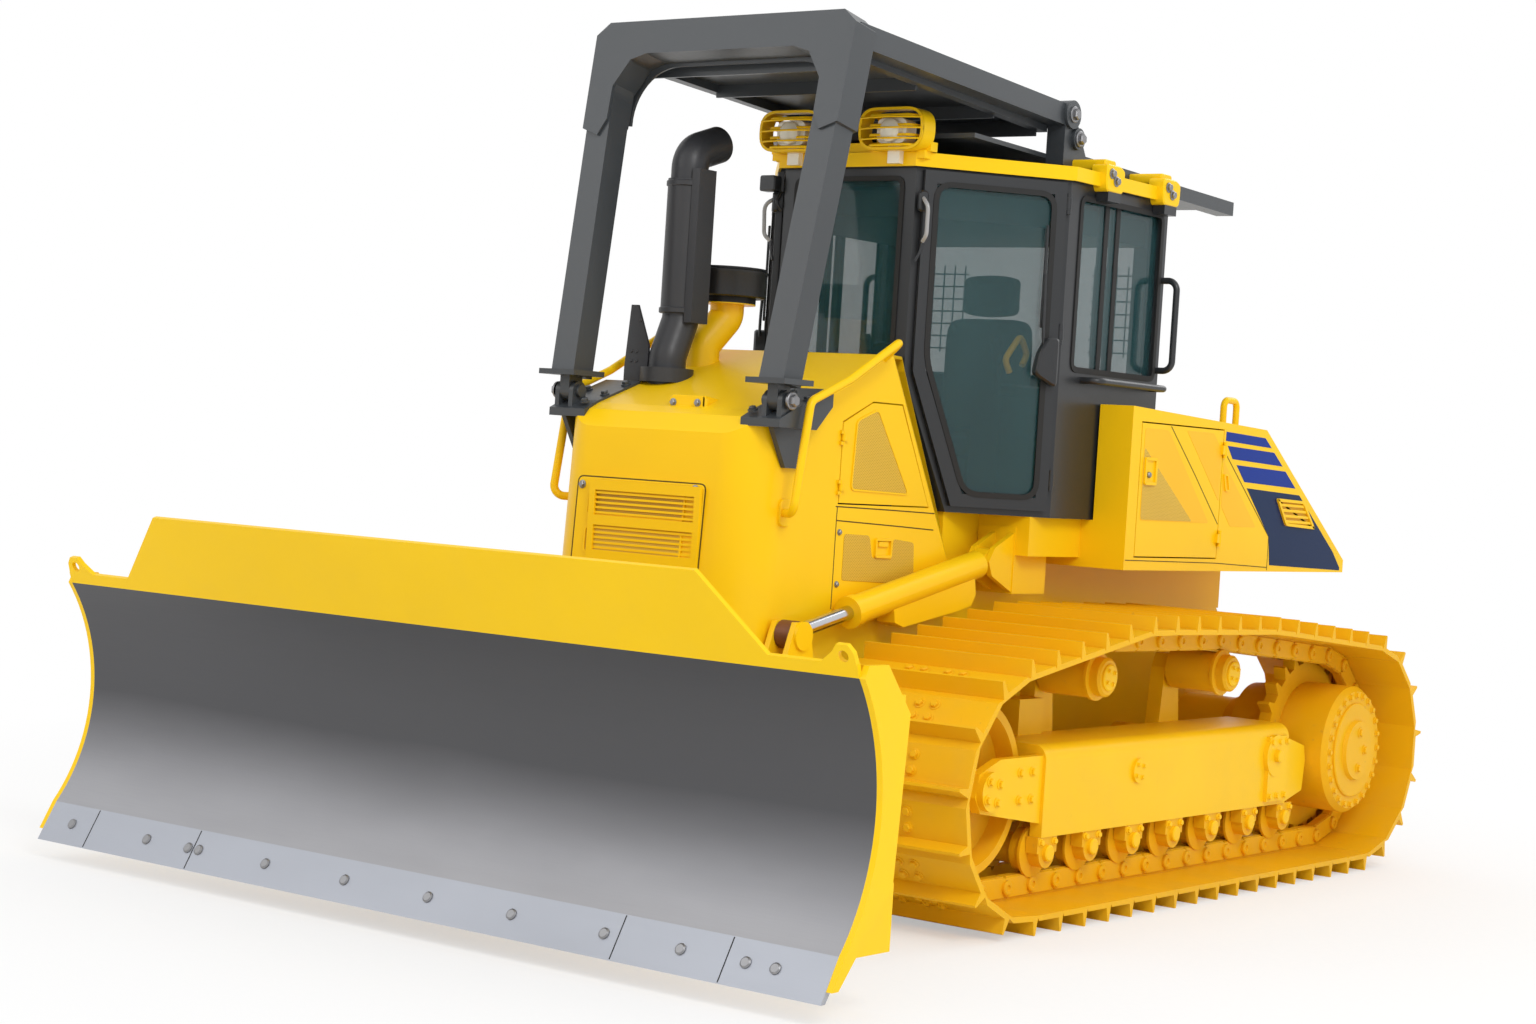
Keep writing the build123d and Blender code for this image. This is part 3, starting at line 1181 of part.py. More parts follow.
def cab_hinge_plane():
    """On the left cab door's hinge axis: local x runs back, local y points in and local z up."""
    plane = door_plane(1)
    origin = plane.origin + plane.x_dir * HINGE_U + plane.z_dir * HINGE_OUT
    return Plane(origin=origin, x_dir=plane.x_dir, z_dir=(0, 0, 1))


WINDSHIELD = (2 * 280, 2240.0, 3005.0)
SIDE_WINDOW = (-150.0, 570.0, 2250.0, 2990.0)
REAR_WINDOW = (2 * 600, 2240.0, 2990.0)
SIDE_PANE_Y = (SIDE_WINDOW[0] + SIDE_WINDOW[1]) / 2
SIDE_PANE_Z = (SIDE_WINDOW[2] + SIDE_WINDOW[3]) / 2
with BuildPart() as cab_hinges:
    hinge_ears(cab_hinge_plane(), 12, 26, HINGE_OUT, CAB_HINGES)
with BuildPart() as cab_shell:
    add(cab_volume(0, CAB_LOW_Z, CAB_TOP_Z))
    add(cab_hinges.part)
    mirror(cab_hinges.part, about=Plane.YZ)
    add(cab_volume(CAB_WALL, CAB_LOW_Z + CAB_WALL, CAB_TOP_Z + 1), mode=Mode.SUBTRACT)
    with Locations((0, CAB_FRONT_Y, (WINDSHIELD[1] + WINDSHIELD[2]) / 2)):
        Box(WINDSHIELD[0], 3 * CAB_WALL, WINDSHIELD[2] - WINDSHIELD[1], mode=Mode.SUBTRACT)
    with Locations((0, CAB_REAR_Y, (REAR_WINDOW[1] + REAR_WINDOW[2]) / 2)):
        Box(REAR_WINDOW[0], 3 * CAB_WALL, REAR_WINDOW[2] - REAR_WINDOW[1], mode=Mode.SUBTRACT)
    for side in (-1, 1):
        with Locations((side * CAB_HALF, SIDE_PANE_Y, SIDE_PANE_Z)):
            Box(
                3 * CAB_WALL, SIDE_WINDOW[1] - SIDE_WINDOW[0], SIDE_WINDOW[3] - SIDE_WINDOW[2],
                mode=Mode.SUBTRACT,
            )
        with BuildSketch(door_plane(side)):
            with BuildLine():
                Polyline(door_outline(26), close=True)
            make_face()
        extrude(amount=1.5 * CAB_WALL, both=True, mode=Mode.SUBTRACT)

GLASS_DEEP = 24.0
with BuildPart() as cab_glass:
    with Locations((0, CAB_FRONT_Y + GLASS_DEEP, (WINDSHIELD[1] + WINDSHIELD[2]) / 2)):
        Box(WINDSHIELD[0], GLASS, WINDSHIELD[2] - WINDSHIELD[1])
    with Locations((0, CAB_REAR_Y - GLASS_DEEP, (REAR_WINDOW[1] + REAR_WINDOW[2]) / 2)):
        Box(REAR_WINDOW[0], GLASS, REAR_WINDOW[2] - REAR_WINDOW[1])
    for side in (-1, 1):
        with Locations((side * (CAB_HALF - GLASS_DEEP), SIDE_PANE_Y, SIDE_PANE_Z)):
            Box(GLASS, SIDE_WINDOW[1] - SIDE_WINDOW[0], SIDE_WINDOW[3] - SIDE_WINDOW[2])


def cab_door(side):
    """A cab door's frame with its glass opening."""
    plane = door_plane(side)
    with BuildPart() as made:
        with BuildSketch(plane.offset(side * DOOR_IN)):
            with BuildLine():
                Polyline(door_outline(0), close=True)
            make_face()
            with BuildLine():
                Polyline(door_outline(55), close=True)
            make_face(mode=Mode.SUBTRACT)
        extrude(amount=side * (DOOR_OUT - DOOR_IN))
        hinge_knuckle(cab_hinge_plane(), 14, 26, 24, 20, 12 * 0.7, CAB_HINGES)
    return made.part


def door_glass(side):
    """A cab door's pane."""
    plane = door_plane(side)
    with BuildPart() as made:
        with BuildSketch(plane.offset(side * (DOOR_IN + 8))):
            with BuildLine():
                Polyline(door_outline(55), close=True)
            make_face()
        extrude(amount=side * GLASS)
    return made.part


with BuildPart() as cab_door_left:
    add(cab_door(1))
with BuildPart() as cab_door_right:
    mirror(cab_door_left.part, about=Plane.YZ)
with BuildPart() as door_glass_left:
    add(door_glass(1))
with BuildPart() as door_glass_right:
    mirror(door_glass_left.part, about=Plane.YZ)

ROOF_MOUNTS = (10.0, 520.0)
CAB_RAIL_R = 15.0
CAB_RAIL_Z = 2205.0
CAB_RAIL_OUT = 85.0
GRAB_Y = 600.0
GRAB_Z = (2290.0, 2700.0)


def rail_under(y):
    """The height of the sweep rail's underside at a place along the machine."""
    front_y = SWEEP_REAR_Y - 60
    share = (y - front_y) / (SWEEP_TAIL_Y - front_y)
    return RAIL_FRONT_Z + share * (SWEEP_TAIL_Z - 15 - RAIL_FRONT_Z)


with BuildPart() as cab_rails:
    for side in (-1, 1):
        out_x = side * (CAB_HALF + CAB_RAIL_OUT)
        add(bent_tube(
            [
                (side * CAB_HALF, -60, CAB_RAIL_Z), (out_x, -60, CAB_RAIL_Z), (out_x, 560, CAB_RAIL_Z),
                (side * CAB_HALF, 560, CAB_RAIL_Z),
            ],
            CAB_RAIL_R, 45,
        ))
        grab_x = side * (CAB_HALF + 80)
        add(bent_tube(
            [
                (side * CAB_HALF, GRAB_Y, GRAB_Z[0]), (grab_x, GRAB_Y, GRAB_Z[0]),
                (grab_x, GRAB_Y, GRAB_Z[1]),
                (side * CAB_HALF, GRAB_Y, GRAB_Z[1]),
            ],
            CAB_RAIL_R, 45,
        ))
with BuildPart() as cab_roof:
    with BuildSketch(Plane.XY.offset(CAB_TOP_Z)):
        with BuildLine():
            Polyline(CAB_PLAN, close=True)
        make_face()
        offset(amount=25, kind=Kind.INTERSECTION, mode=Mode.REPLACE)
    extrude(amount=ROOF_TOP_Z - CAB_TOP_Z)
    fillet(cab_roof.edges().group_by(Axis.Z)[-1], 30)
    for side in (-1, 1):
        for mount_y in ROOF_MOUNTS:
            low_y = mount_y - 80
            high_y = mount_y + 80
            with BuildSketch(Plane.YZ.offset(side * POST_TOP_X - 60)):
                with BuildLine():
                    Polyline(
                        (low_y, CAB_TOP_Z + 20), (low_y, rail_under(low_y) - REST_GAP),
                        (high_y, rail_under(high_y) - REST_GAP), (high_y, CAB_TOP_Z + 20), close=True,
                    )
                make_face()
            extrude(amount=120)
            with Locations((side * (CAB_HALF + 35), mount_y, CAB_TOP_Z - 15)):
                Box(60, 110, 110)

with BuildPart() as operator_seat:
    with Locations((0, 190, 1890)):
        Box(480, 460, 130)
    with Locations((0, 400, 2260)):
        Box(460, 110, 640)
    with Locations((0, 200, (CAB_LOW_Z + CAB_WALL + 1825) / 2)):
        Box(360, 380, 1825 - CAB_LOW_Z - CAB_WALL)
with BuildPart() as control_console:
    for side in (-1, 1):
        with Locations((side * 360, 120, CAB_LOW_Z + CAB_WALL + 235)):
            Box(150, 560, 470)
    with Locations((0, -470, CAB_LOW_Z + CAB_WALL + 275)):
        Box(420, 160, 550)

# Rear body on both sides of the cab and across the back
SIDE_HINGES = (1540.0, 1950.0)
LOOP_X = 800.0
LOOP_Y = (1250.0, 1380.0)
LOOP_Z = BODY_SLOPE_Z + 130
side_hinge_plane = Plane(
    origin=(BODY_HALF + 10, SIDE_DOOR_REAR_Y + PANEL_GAP, 0), x_dir=(0, 1, 0), z_dir=(0, 0, 1)
)
with BuildPart() as side_hinges:
    hinge_ears(side_hinge_plane, 10, 22, 14, SIDE_HINGES)
with BuildPart() as rear_body:
    with BuildSketch(Plane.YZ.offset(-BODY_HALF)):
        with BuildLine():
            Polyline(
                (BODY_FRONT_Y, BODY_LOW_Z), (BODY_FRONT_Y, BODY_TOP_Z), (BODY_SLOPE_Y, BODY_SLOPE_Z),
                (BODY_REAR_Y, BODY_REAR_TOP_Z), (BODY_REAR_Y, BODY_LOW_Z), close=True,
            )
        make_face()
    extrude(amount=2 * BODY_HALF)
    with Locations((0, 250, 1995)):
        Box(2 * CAB_HALF + 24, 2 * (CAB_REAR_Y + 12 - 250), 2 * (1995 - CAB_LOW_Z), mode=Mode.SUBTRACT)
    for side in (-1, 1):
        with Locations((side * (BODY_HALF - 70), SIDE_DOOR_MID_Y, SIDE_DOOR_MID_Z)):
            Box(
                150, SIDE_DOOR_REAR_Y - SIDE_DOOR_FRONT_Y + 2 * PANEL_GAP,
                SIDE_DOOR_TOP_Z - SIDE_DOOR_LOW_Z + 2 * PANEL_GAP, mode=Mode.SUBTRACT,
            )
    add(side_hinges.part)
    mirror(side_hinges.part, about=Plane.YZ)
    for side in (-1, 1):
        add(bent_tube(
            [
                (side * LOOP_X, LOOP_Y[0], BODY_SLOPE_Z - 10), (side * LOOP_X, LOOP_Y[0], LOOP_Z),
                (side * LOOP_X, LOOP_Y[1], LOOP_Z), (side * LOOP_X, LOOP_Y[1], BODY_SLOPE_Z - 10),
            ],
            16, 35,
        ))

with BuildPart() as side_door_left:
    with Locations((BODY_HALF - SIDE_DOOR_THICK / 2, SIDE_DOOR_MID_Y, SIDE_DOOR_MID_Z)):
        Box(SIDE_DOOR_THICK, SIDE_DOOR_REAR_Y - SIDE_DOOR_FRONT_Y, SIDE_DOOR_TOP_Z - SIDE_DOOR_LOW_Z)
    hinge_knuckle(side_hinge_plane, 9.5, 22, 30, 20, 10 * 0.7, SIDE_HINGES)
with BuildPart() as side_door_right:
    mirror(side_door_left.part, about=Plane.YZ)

with BuildPart() as drawbar:
    with BuildSketch(Plane.XY.offset(560)):
        with Locations((0, HULL_REAR_Y + 90)):
            Rectangle(220, 180)
        with Locations((0, HULL_REAR_Y + 180)):
            Circle(110)
        with Locations((0, HULL_REAR_Y + 190)):
            Circle(28, mode=Mode.SUBTRACT)
    extrude(amount=60)

# Forestry sweeps
hoop_rise = hypot(POST_TOP_Y - POST_FOOT_Y, POST_TOP_Z - POST_FOOT_Z)
hoop_up = Vector(0, (POST_TOP_Y - POST_FOOT_Y) / hoop_rise, (POST_TOP_Z - POST_FOOT_Z) / hoop_rise)
hoop_plane = Plane(
    origin=(0, POST_FOOT_Y, POST_FOOT_Z), x_dir=(1, 0, 0), z_dir=Vector(1, 0, 0).cross(hoop_up),
)
half_post = POST_SIZE / 2
with BuildPart() as sweep_frame:
    with BuildSketch(hoop_plane):
        with BuildLine():
            Polyline(
                (-POST_X - half_post, 0), (-POST_TOP_X - 48, hoop_rise), (-POST_TOP_X + 10, hoop_rise + 47),
                (POST_TOP_X - 10, hoop_rise + 47), (POST_TOP_X + 48, hoop_rise), (POST_X + half_post, 0),
                close=True,
            )
        make_face()
        with BuildLine():
            FilletPolyline(
                (-POST_X + half_post, -10), (-POST_TOP_X + 72, hoop_rise - 80),
                (POST_TOP_X - 72, hoop_rise - 80),
                (POST_X - half_post, -10), radius=170,
            )
            Line((-POST_X + half_post, -10), (POST_X - half_post, -10))
        make_face(mode=Mode.SUBTRACT)
    extrude(amount=half_post, both=True)
    with BuildSketch(hoop_plane) as arch:
        with BuildLine():
            Polyline(
                (-POST_TOP_X - 44, hoop_rise - 400), (-POST_TOP_X - 56, hoop_rise + 2),
                (-POST_TOP_X + 8, hoop_rise + 55),
                (POST_TOP_X - 8, hoop_rise + 55), (POST_TOP_X + 56, hoop_rise + 2),
                (POST_TOP_X + 44, hoop_rise - 400),
                (POST_TOP_X - 40, hoop_rise - 430), (POST_TOP_X - 78, hoop_rise - 360),
                (POST_TOP_X - 78, hoop_rise - 220),
                (POST_TOP_X - 150, hoop_rise - 110), (POST_TOP_X - 230, hoop_rise - 86),
                (-POST_TOP_X + 230, hoop_rise - 86),
                (-POST_TOP_X + 150, hoop_rise - 110), (-POST_TOP_X + 78, hoop_rise - 220),
                (-POST_TOP_X + 78, hoop_rise - 360), (-POST_TOP_X + 40, hoop_rise - 430), close=True,
            )
        make_face()
    extrude(arch.sketch, amount=half_post + 12, both=True)
    for side in (-1, 1):
        with Locations((side * POST_X, POST_FOOT_Y, POST_FOOT_Z + 12)):
            Box(190, 190, 22)
        with BuildSketch(Plane.YZ.offset(side * POST_X)):
            with Locations((POST_FOOT_Y, FOOT_PIN_Z)):
                Circle(BRACKET_ROUND)
            with Locations((POST_FOOT_Y, (FOOT_PIN_Z + POST_FOOT_Z + 10) / 2)):
                Rectangle(2 * BRACKET_ROUND, POST_FOOT_Z + 10 - FOOT_PIN_Z)
        extrude(amount=25, both=True)
        with BuildSketch(Plane.YZ.offset(side * POST_X)):
            with Locations((POST_FOOT_Y, FOOT_PIN_Z)):
                Circle(FOOT_PIN_R + RUN_FIT)
        extrude(amount=60, both=True, mode=Mode.SUBTRACT)
        with BuildSketch(Plane.YZ.offset(side * POST_TOP_X)):
            with Locations((SWEEP_REAR_Y - 20, SWEEP_REAR_Z - 30)):
                Circle(62)
            with Locations((SWEEP_REAR_Y + 40, SWEEP_REAR_Z - 130)):
                Circle(48)
        extrude(amount=62, both=True)
    for side in (-1, 1):
        with BuildSketch(Plane.YZ.offset(side * POST_TOP_X - 45)):
            with BuildLine():
                Polyline(
                    (POST_TOP_Y - 20, POST_TOP_Z + 20), (SWEEP_REAR_Y, SWEEP_REAR_Z + 10),
                    (SWEEP_REAR_Y + 130, ROOF_TOP_Z + 90),
                    (SWEEP_TAIL_Y, SWEEP_TAIL_Z + 50), (SWEEP_TAIL_Y, SWEEP_TAIL_Z - 15),
                    (SWEEP_REAR_Y - 60, RAIL_FRONT_Z),
                    (SWEEP_REAR_Y - 60, SWEEP_REAR_Z - 80), (POST_TOP_Y - 20, POST_TOP_Z - 75), close=True,
                )
            make_face()
        extrude(amount=90)
# The brackets on the hood's front corners that the posts are pinned to
FOOT_FRONT_Y = -1985.0
FOOT_REAR_Y = -1640.0
FOOT_THICK = 10.0
FOOT_IN = 400.0
FOOT_WIDE = 190.0
with BuildPart() as hood_brackets:
    for side in (-1, 1):
        for cheek_x in (-BRACKET_SPREAD - BRACKET_CHEEK, BRACKET_SPREAD):
            with BuildSketch(Plane.YZ.offset(side * POST_X + cheek_x)):
                with Locations((POST_FOOT_Y, FOOT_PIN_Z)):
                    Circle(BRACKET_ROUND)
                with Locations((POST_FOOT_Y, FOOT_PIN_Z - BRACKET_ROUND)):
                    Rectangle(2 * BRACKET_ROUND, 2 * BRACKET_ROUND)
            extrude(amount=BRACKET_CHEEK)
        with BuildSketch(Plane.YZ.offset(side * POST_X)):
            with Locations((POST_FOOT_Y, FOOT_PIN_Z)):
                Circle(FOOT_PIN_R)
        extrude(amount=BRACKET_SPREAD + BRACKET_CHEEK + 16, both=True)
        with BuildSketch(Plane.YZ.offset(side * FOOT_IN)):
            with BuildLine():
                Polyline(
                    (FOOT_FRONT_Y, 1900), (FOOT_FRONT_Y, 1932), (FOOT_FRONT_Y + 30, 1946),
                    (HOOD_TOP_FRONT_Y, HOOD_TOP_FRONT_Z + FOOT_THICK),
                    (FOOT_REAR_Y, hood_top_at(FOOT_REAR_Y) + FOOT_THICK),
                    (FOOT_REAR_Y, hood_top_at(FOOT_REAR_Y) - 60), (-1740, 1900), close=True,
                )
            make_face()
        extrude(amount=side * FOOT_WIDE)
        with BuildSketch(Plane.YZ.offset(side * HOOD_HALF)):
            with BuildLine():
                Polyline(
                    (POST_FOOT_Y - 55, 1930), (POST_FOOT_Y + 205, 1930), (POST_FOOT_Y + 190, 1745),
                    (POST_FOOT_Y + 60, 1745), close=True,
                )
            make_face()
        extrude(amount=side * 22)
    add(hood_solid(0), mode=Mode.SUBTRACT)
with BuildPart() as roof_guard:
    with BuildSketch(Plane.YZ.offset(-POST_TOP_X + 45)):
        with BuildLine():
            Polyline(
                (-700, ROOF_TOP_Z + 75), (-700, ROOF_TOP_Z + 95), (SWEEP_REAR_Y, ROOF_TOP_Z + 80),
                (SWEEP_TAIL_Y, SWEEP_TAIL_Z + 35),
                (SWEEP_TAIL_Y, SWEEP_TAIL_Z + 15), (SWEEP_REAR_Y, ROOF_TOP_Z + 60), close=True,
            )
        make_face()
    extrude(amount=2 * POST_TOP_X - 90)

# Work lights over the windshield, each behind its guard
LIGHT_X = 265.0
LIGHT_Z = 3195.0
CAGE_HALF = 116.0
CAGE_OUT = 105.0
CAGE_BARS = (-62.0, -20.0, 22.0, 64.0)
with BuildPart() as work_lights:
    for side in (-1, 1):
        with BuildSketch(Plane.XZ.offset(-(CAB_FRONT_Y - 15))):
            with Locations((side * LIGHT_X, LIGHT_Z)):
                RectangleRounded(150, 105, 30)
        extrude(amount=75)
        with Locations((side * LIGHT_X, CAB_FRONT_Y - 35, (LIGHT_Z + CAB_TOP_Z) / 2 - 20)):
            Box(60, 60, LIGHT_Z - CAB_TOP_Z - 40)
    add(cab_roof.part, mode=Mode.SUBTRACT)
with BuildPart() as light_guards:
    for side in (-1, 1):
        near_x = side * (LIGHT_X - CAGE_HALF)
        far_x = side * (LIGHT_X + CAGE_HALF)
        for bar in CAGE_BARS:
            add(bent_tube(
                [
                    (near_x, CAB_FRONT_Y - 5, LIGHT_Z + bar), (near_x, CAB_FRONT_Y - CAGE_OUT, LIGHT_Z + bar),
                    (far_x, CAB_FRONT_Y - CAGE_OUT, LIGHT_Z + bar), (far_x, CAB_FRONT_Y - 5, LIGHT_Z + bar),
                ],
                6, 40,
            ))
        for post_x in (near_x, far_x):
            with Locations((post_x, CAB_FRONT_Y - 12, LIGHT_Z - 20)):
                Box(14, 14, 190)
            with Locations((post_x, CAB_FRONT_Y - 2, ROOF_TOP_Z - 8)):
                Box(40, 60, 36)
    add(cab_roof.part, mode=Mode.SUBTRACT)


os.makedirs("parts", exist_ok=True)
track_left.part.label = "track_left"
export_step(track_left.part, "parts/track_left.step")
track_right.part.label = "track_right"
export_step(track_right.part, "parts/track_right.step")
idlers.part.label = "idlers"
export_step(idlers.part, "parts/idlers.step")
sprockets.part.label = "sprockets"
export_step(sprockets.part, "parts/sprockets.step")
track_rollers.part.label = "track_rollers"
export_step(track_rollers.part, "parts/track_rollers.step")
carrier_rollers.part.label = "carrier_rollers"
export_step(carrier_rollers.part, "parts/carrier_rollers.step")
track_frames.part.label = "track_frames"
export_step(track_frames.part, "parts/track_frames.step")
main_frame.part.label = "main_frame"
export_step(main_frame.part, "parts/main_frame.step")
c_frame.part.label = "c_frame"
export_step(c_frame.part, "parts/c_frame.step")
blade_yoke.part.label = "blade_yoke"
export_step(blade_yoke.part, "parts/blade_yoke.step")
mouldboard.part.label = "mouldboard"
export_step(mouldboard.part, "parts/mouldboard.step")
cutting_edge.part.label = "cutting_edge"
export_step(cutting_edge.part, "parts/cutting_edge.step")
blade_back.part.label = "blade_back"
export_step(blade_back.part, "parts/blade_back.step")
blade_guard.part.label = "blade_guard"
export_step(blade_guard.part, "parts/blade_guard.step")
lift_barrel_left.part.label = "lift_barrel_left"
export_step(lift_barrel_left.part, "parts/lift_barrel_left.step")
lift_barrel_right.part.label = "lift_barrel_right"
export_step(lift_barrel_right.part, "parts/lift_barrel_right.step")
lift_rod_left.part.label = "lift_rod_left"
export_step(lift_rod_left.part, "parts/lift_rod_left.step")
lift_rod_right.part.label = "lift_rod_right"
export_step(lift_rod_right.part, "parts/lift_rod_right.step")
angle_barrel_left.part.label = "angle_barrel_left"
export_step(angle_barrel_left.part, "parts/angle_barrel_left.step")
angle_barrel_right.part.label = "angle_barrel_right"
export_step(angle_barrel_right.part, "parts/angle_barrel_right.step")
angle_rod_left.part.label = "angle_rod_left"
export_step(angle_rod_left.part, "parts/angle_rod_left.step")
angle_rod_right.part.label = "angle_rod_right"
export_step(angle_rod_right.part, "parts/angle_rod_right.step")
tilt_barrel.part.label = "tilt_barrel"
export_step(tilt_barrel.part, "parts/tilt_barrel.step")
tilt_rod.part.label = "tilt_rod"
export_step(tilt_rod.part, "parts/tilt_rod.step")
engine_block.part.label = "engine_block"
export_step(engine_block.part, "parts/engine_block.step")
hood_shell.part.label = "hood_shell"
export_step(hood_shell.part, "parts/hood_shell.step")
front_grille.part.label = "front_grille"
export_step(front_grille.part, "parts/front_grille.step")
engine_door_left.part.label = "engine_door_left"
export_step(engine_door_left.part, "parts/engine_door_left.step")
engine_door_right.part.label = "engine_door_right"
export_step(engine_door_right.part, "parts/engine_door_right.step")
exhaust_stack.part.label = "exhaust_stack"
export_step(exhaust_stack.part, "parts/exhaust_stack.step")
air_precleaner.part.label = "air_precleaner"
export_step(air_precleaner.part, "parts/air_precleaner.step")
hood_rails.part.label = "hood_rails"
export_step(hood_rails.part, "parts/hood_rails.step")
cab_shell.part.label = "cab_shell"
export_step(cab_shell.part, "parts/cab_shell.step")
cab_glass.part.label = "cab_glass"
export_step(cab_glass.part, "parts/cab_glass.step")
cab_door_left.part.label = "cab_door_left"
export_step(cab_door_left.part, "parts/cab_door_left.step")
cab_door_right.part.label = "cab_door_right"
export_step(cab_door_right.part, "parts/cab_door_right.step")
door_glass_left.part.label = "door_glass_left"
export_step(door_glass_left.part, "parts/door_glass_left.step")
door_glass_right.part.label = "door_glass_right"
export_step(door_glass_right.part, "parts/door_glass_right.step")
cab_rails.part.label = "cab_rails"
export_step(cab_rails.part, "parts/cab_rails.step")
cab_roof.part.label = "cab_roof"
export_step(cab_roof.part, "parts/cab_roof.step")
operator_seat.part.label = "operator_seat"
export_step(operator_seat.part, "parts/operator_seat.step")
control_console.part.label = "control_console"
export_step(control_console.part, "parts/control_console.step")
rear_body.part.label = "rear_body"
export_step(rear_body.part, "parts/rear_body.step")
side_door_left.part.label = "side_door_left"
export_step(side_door_left.part, "parts/side_door_left.step")
side_door_right.part.label = "side_door_right"
export_step(side_door_right.part, "parts/side_door_right.step")
drawbar.part.label = "drawbar"
export_step(drawbar.part, "parts/drawbar.step")
sweep_frame.part.label = "sweep_frame"
export_step(sweep_frame.part, "parts/sweep_frame.step")
hood_brackets.part.label = "hood_brackets"
export_step(hood_brackets.part, "parts/hood_brackets.step")
roof_guard.part.label = "roof_guard"
export_step(roof_guard.part, "parts/roof_guard.step")
work_lights.part.label = "work_lights"
export_step(work_lights.part, "parts/work_lights.step")
light_guards.part.label = "light_guards"
export_step(light_guards.part, "parts/light_guards.step")
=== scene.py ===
"""Looks of a wide-track crawler bulldozer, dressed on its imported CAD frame.

Metres, in the frame's own axes: the front looks along -Y, the machine's left is +X, the ground is Z = 0.
"""

import json
import logging
import math
from dataclasses import dataclass, field
from enum import Enum
from typing import Optional, Sequence, Union

import bmesh
import bpy
import numpy as np
from mathutils import Matrix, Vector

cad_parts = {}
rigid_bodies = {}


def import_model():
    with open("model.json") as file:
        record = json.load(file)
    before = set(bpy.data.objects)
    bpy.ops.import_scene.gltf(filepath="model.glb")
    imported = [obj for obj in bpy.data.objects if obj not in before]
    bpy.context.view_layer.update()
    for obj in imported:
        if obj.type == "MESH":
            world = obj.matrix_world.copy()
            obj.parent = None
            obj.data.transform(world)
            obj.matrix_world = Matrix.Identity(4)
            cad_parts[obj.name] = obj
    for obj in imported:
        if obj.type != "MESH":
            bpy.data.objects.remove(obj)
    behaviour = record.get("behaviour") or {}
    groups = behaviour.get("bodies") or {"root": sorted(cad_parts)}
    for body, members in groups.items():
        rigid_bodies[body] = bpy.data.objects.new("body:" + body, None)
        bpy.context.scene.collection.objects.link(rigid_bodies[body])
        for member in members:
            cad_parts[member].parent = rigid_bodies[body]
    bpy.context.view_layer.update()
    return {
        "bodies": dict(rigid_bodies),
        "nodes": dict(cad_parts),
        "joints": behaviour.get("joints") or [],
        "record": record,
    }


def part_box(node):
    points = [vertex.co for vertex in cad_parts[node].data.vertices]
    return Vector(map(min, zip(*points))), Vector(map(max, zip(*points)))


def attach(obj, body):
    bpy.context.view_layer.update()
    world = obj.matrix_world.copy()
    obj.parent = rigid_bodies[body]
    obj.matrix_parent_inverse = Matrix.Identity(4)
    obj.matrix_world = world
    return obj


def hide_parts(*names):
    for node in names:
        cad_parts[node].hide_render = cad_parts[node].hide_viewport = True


LOG = logging.getLogger("bulldozer")
Array = np.ndarray
Colour = tuple[float, float, float]
MM = 0.001
# The height of a trim's back, just under the face that carries it, and the width of a drawn seam.
SUNK = -0.001
SEAM_WIDTH = 0.005
# An edge that turns by more than this stays sharp under smooth shading.
SHARP_DEGREES = 32
WHITE = (1.0, 1.0, 1.0, 1.0)
LEFT = (1.0, 0.0, 0.0)
BACK = (0.0, 1.0, 0.0)
FRONT = (0.0, -1.0, 0.0)
UP = (0.0, 0.0, 1.0)
MACHINE = ("machine", "machine")
ENGINE_DOORS = ("engine_door_left", "engine_door_right")
SIDE_DOORS = ("side_door_left", "side_door_right")
CAB_DOORS = ("cab_door_left", "cab_door_right")


class Slot(Enum):
    """The record's material slots, by name; no piece here takes its finish from them."""

    BODY = "body_yellow"
    TRACK = "track_yellow"
    GUARD = "guard_black"
    EDGE = "edge_steel"
    SEAT = "seat_fabric"
    DASH = "dash_plastic"
    DRUM = "drum_black"
    CHROME = "chrome_rod"


class Wire:
    """A shader socket that takes part in Python arithmetic."""

    def __init__(self, graph: "Graph", socket: bpy.types.NodeSocket) -> None:
        """Keep the socket and the graph that it belongs to."""
        self.graph = graph
        self.socket = socket

    def __add__(self, other: "Value") -> "Wire":
        """Sum."""
        return self.graph.maths("ADD", self, other)

    __radd__ = __add__

    def __mul__(self, other: "Value") -> "Wire":
        """Product."""
        return self.graph.maths("MULTIPLY", self, other)

    __rmul__ = __mul__

    def __sub__(self, other: "Value") -> "Wire":
        """Difference."""
        return self.graph.maths("SUBTRACT", self, other)

    def __rsub__(self, other: "Value") -> "Wire":
        """Difference, reflected."""
        return self.graph.maths("SUBTRACT", other, self)

    def __gt__(self, other: "Value") -> "Wire":
        """One where this is the greater."""
        return self.graph.maths("GREATER_THAN", self, other)

    def ramp(self, low: float, high: float) -> "Wire":
        """Nought at low, one at high, clamped and straight between.

        Args:
            low: the value that becomes 0.
            high: the value that becomes 1.

        Returns:
            The clamped value.
        """
        node = self.graph.node(
            "ShaderNodeMapRange", {"clamp": True}, {"Value": self, "From Min": low, "From Max": high}
        )
        return Wire(self.graph, node.outputs[0])


Value = Union[Wire, float, int, Sequence[float]]


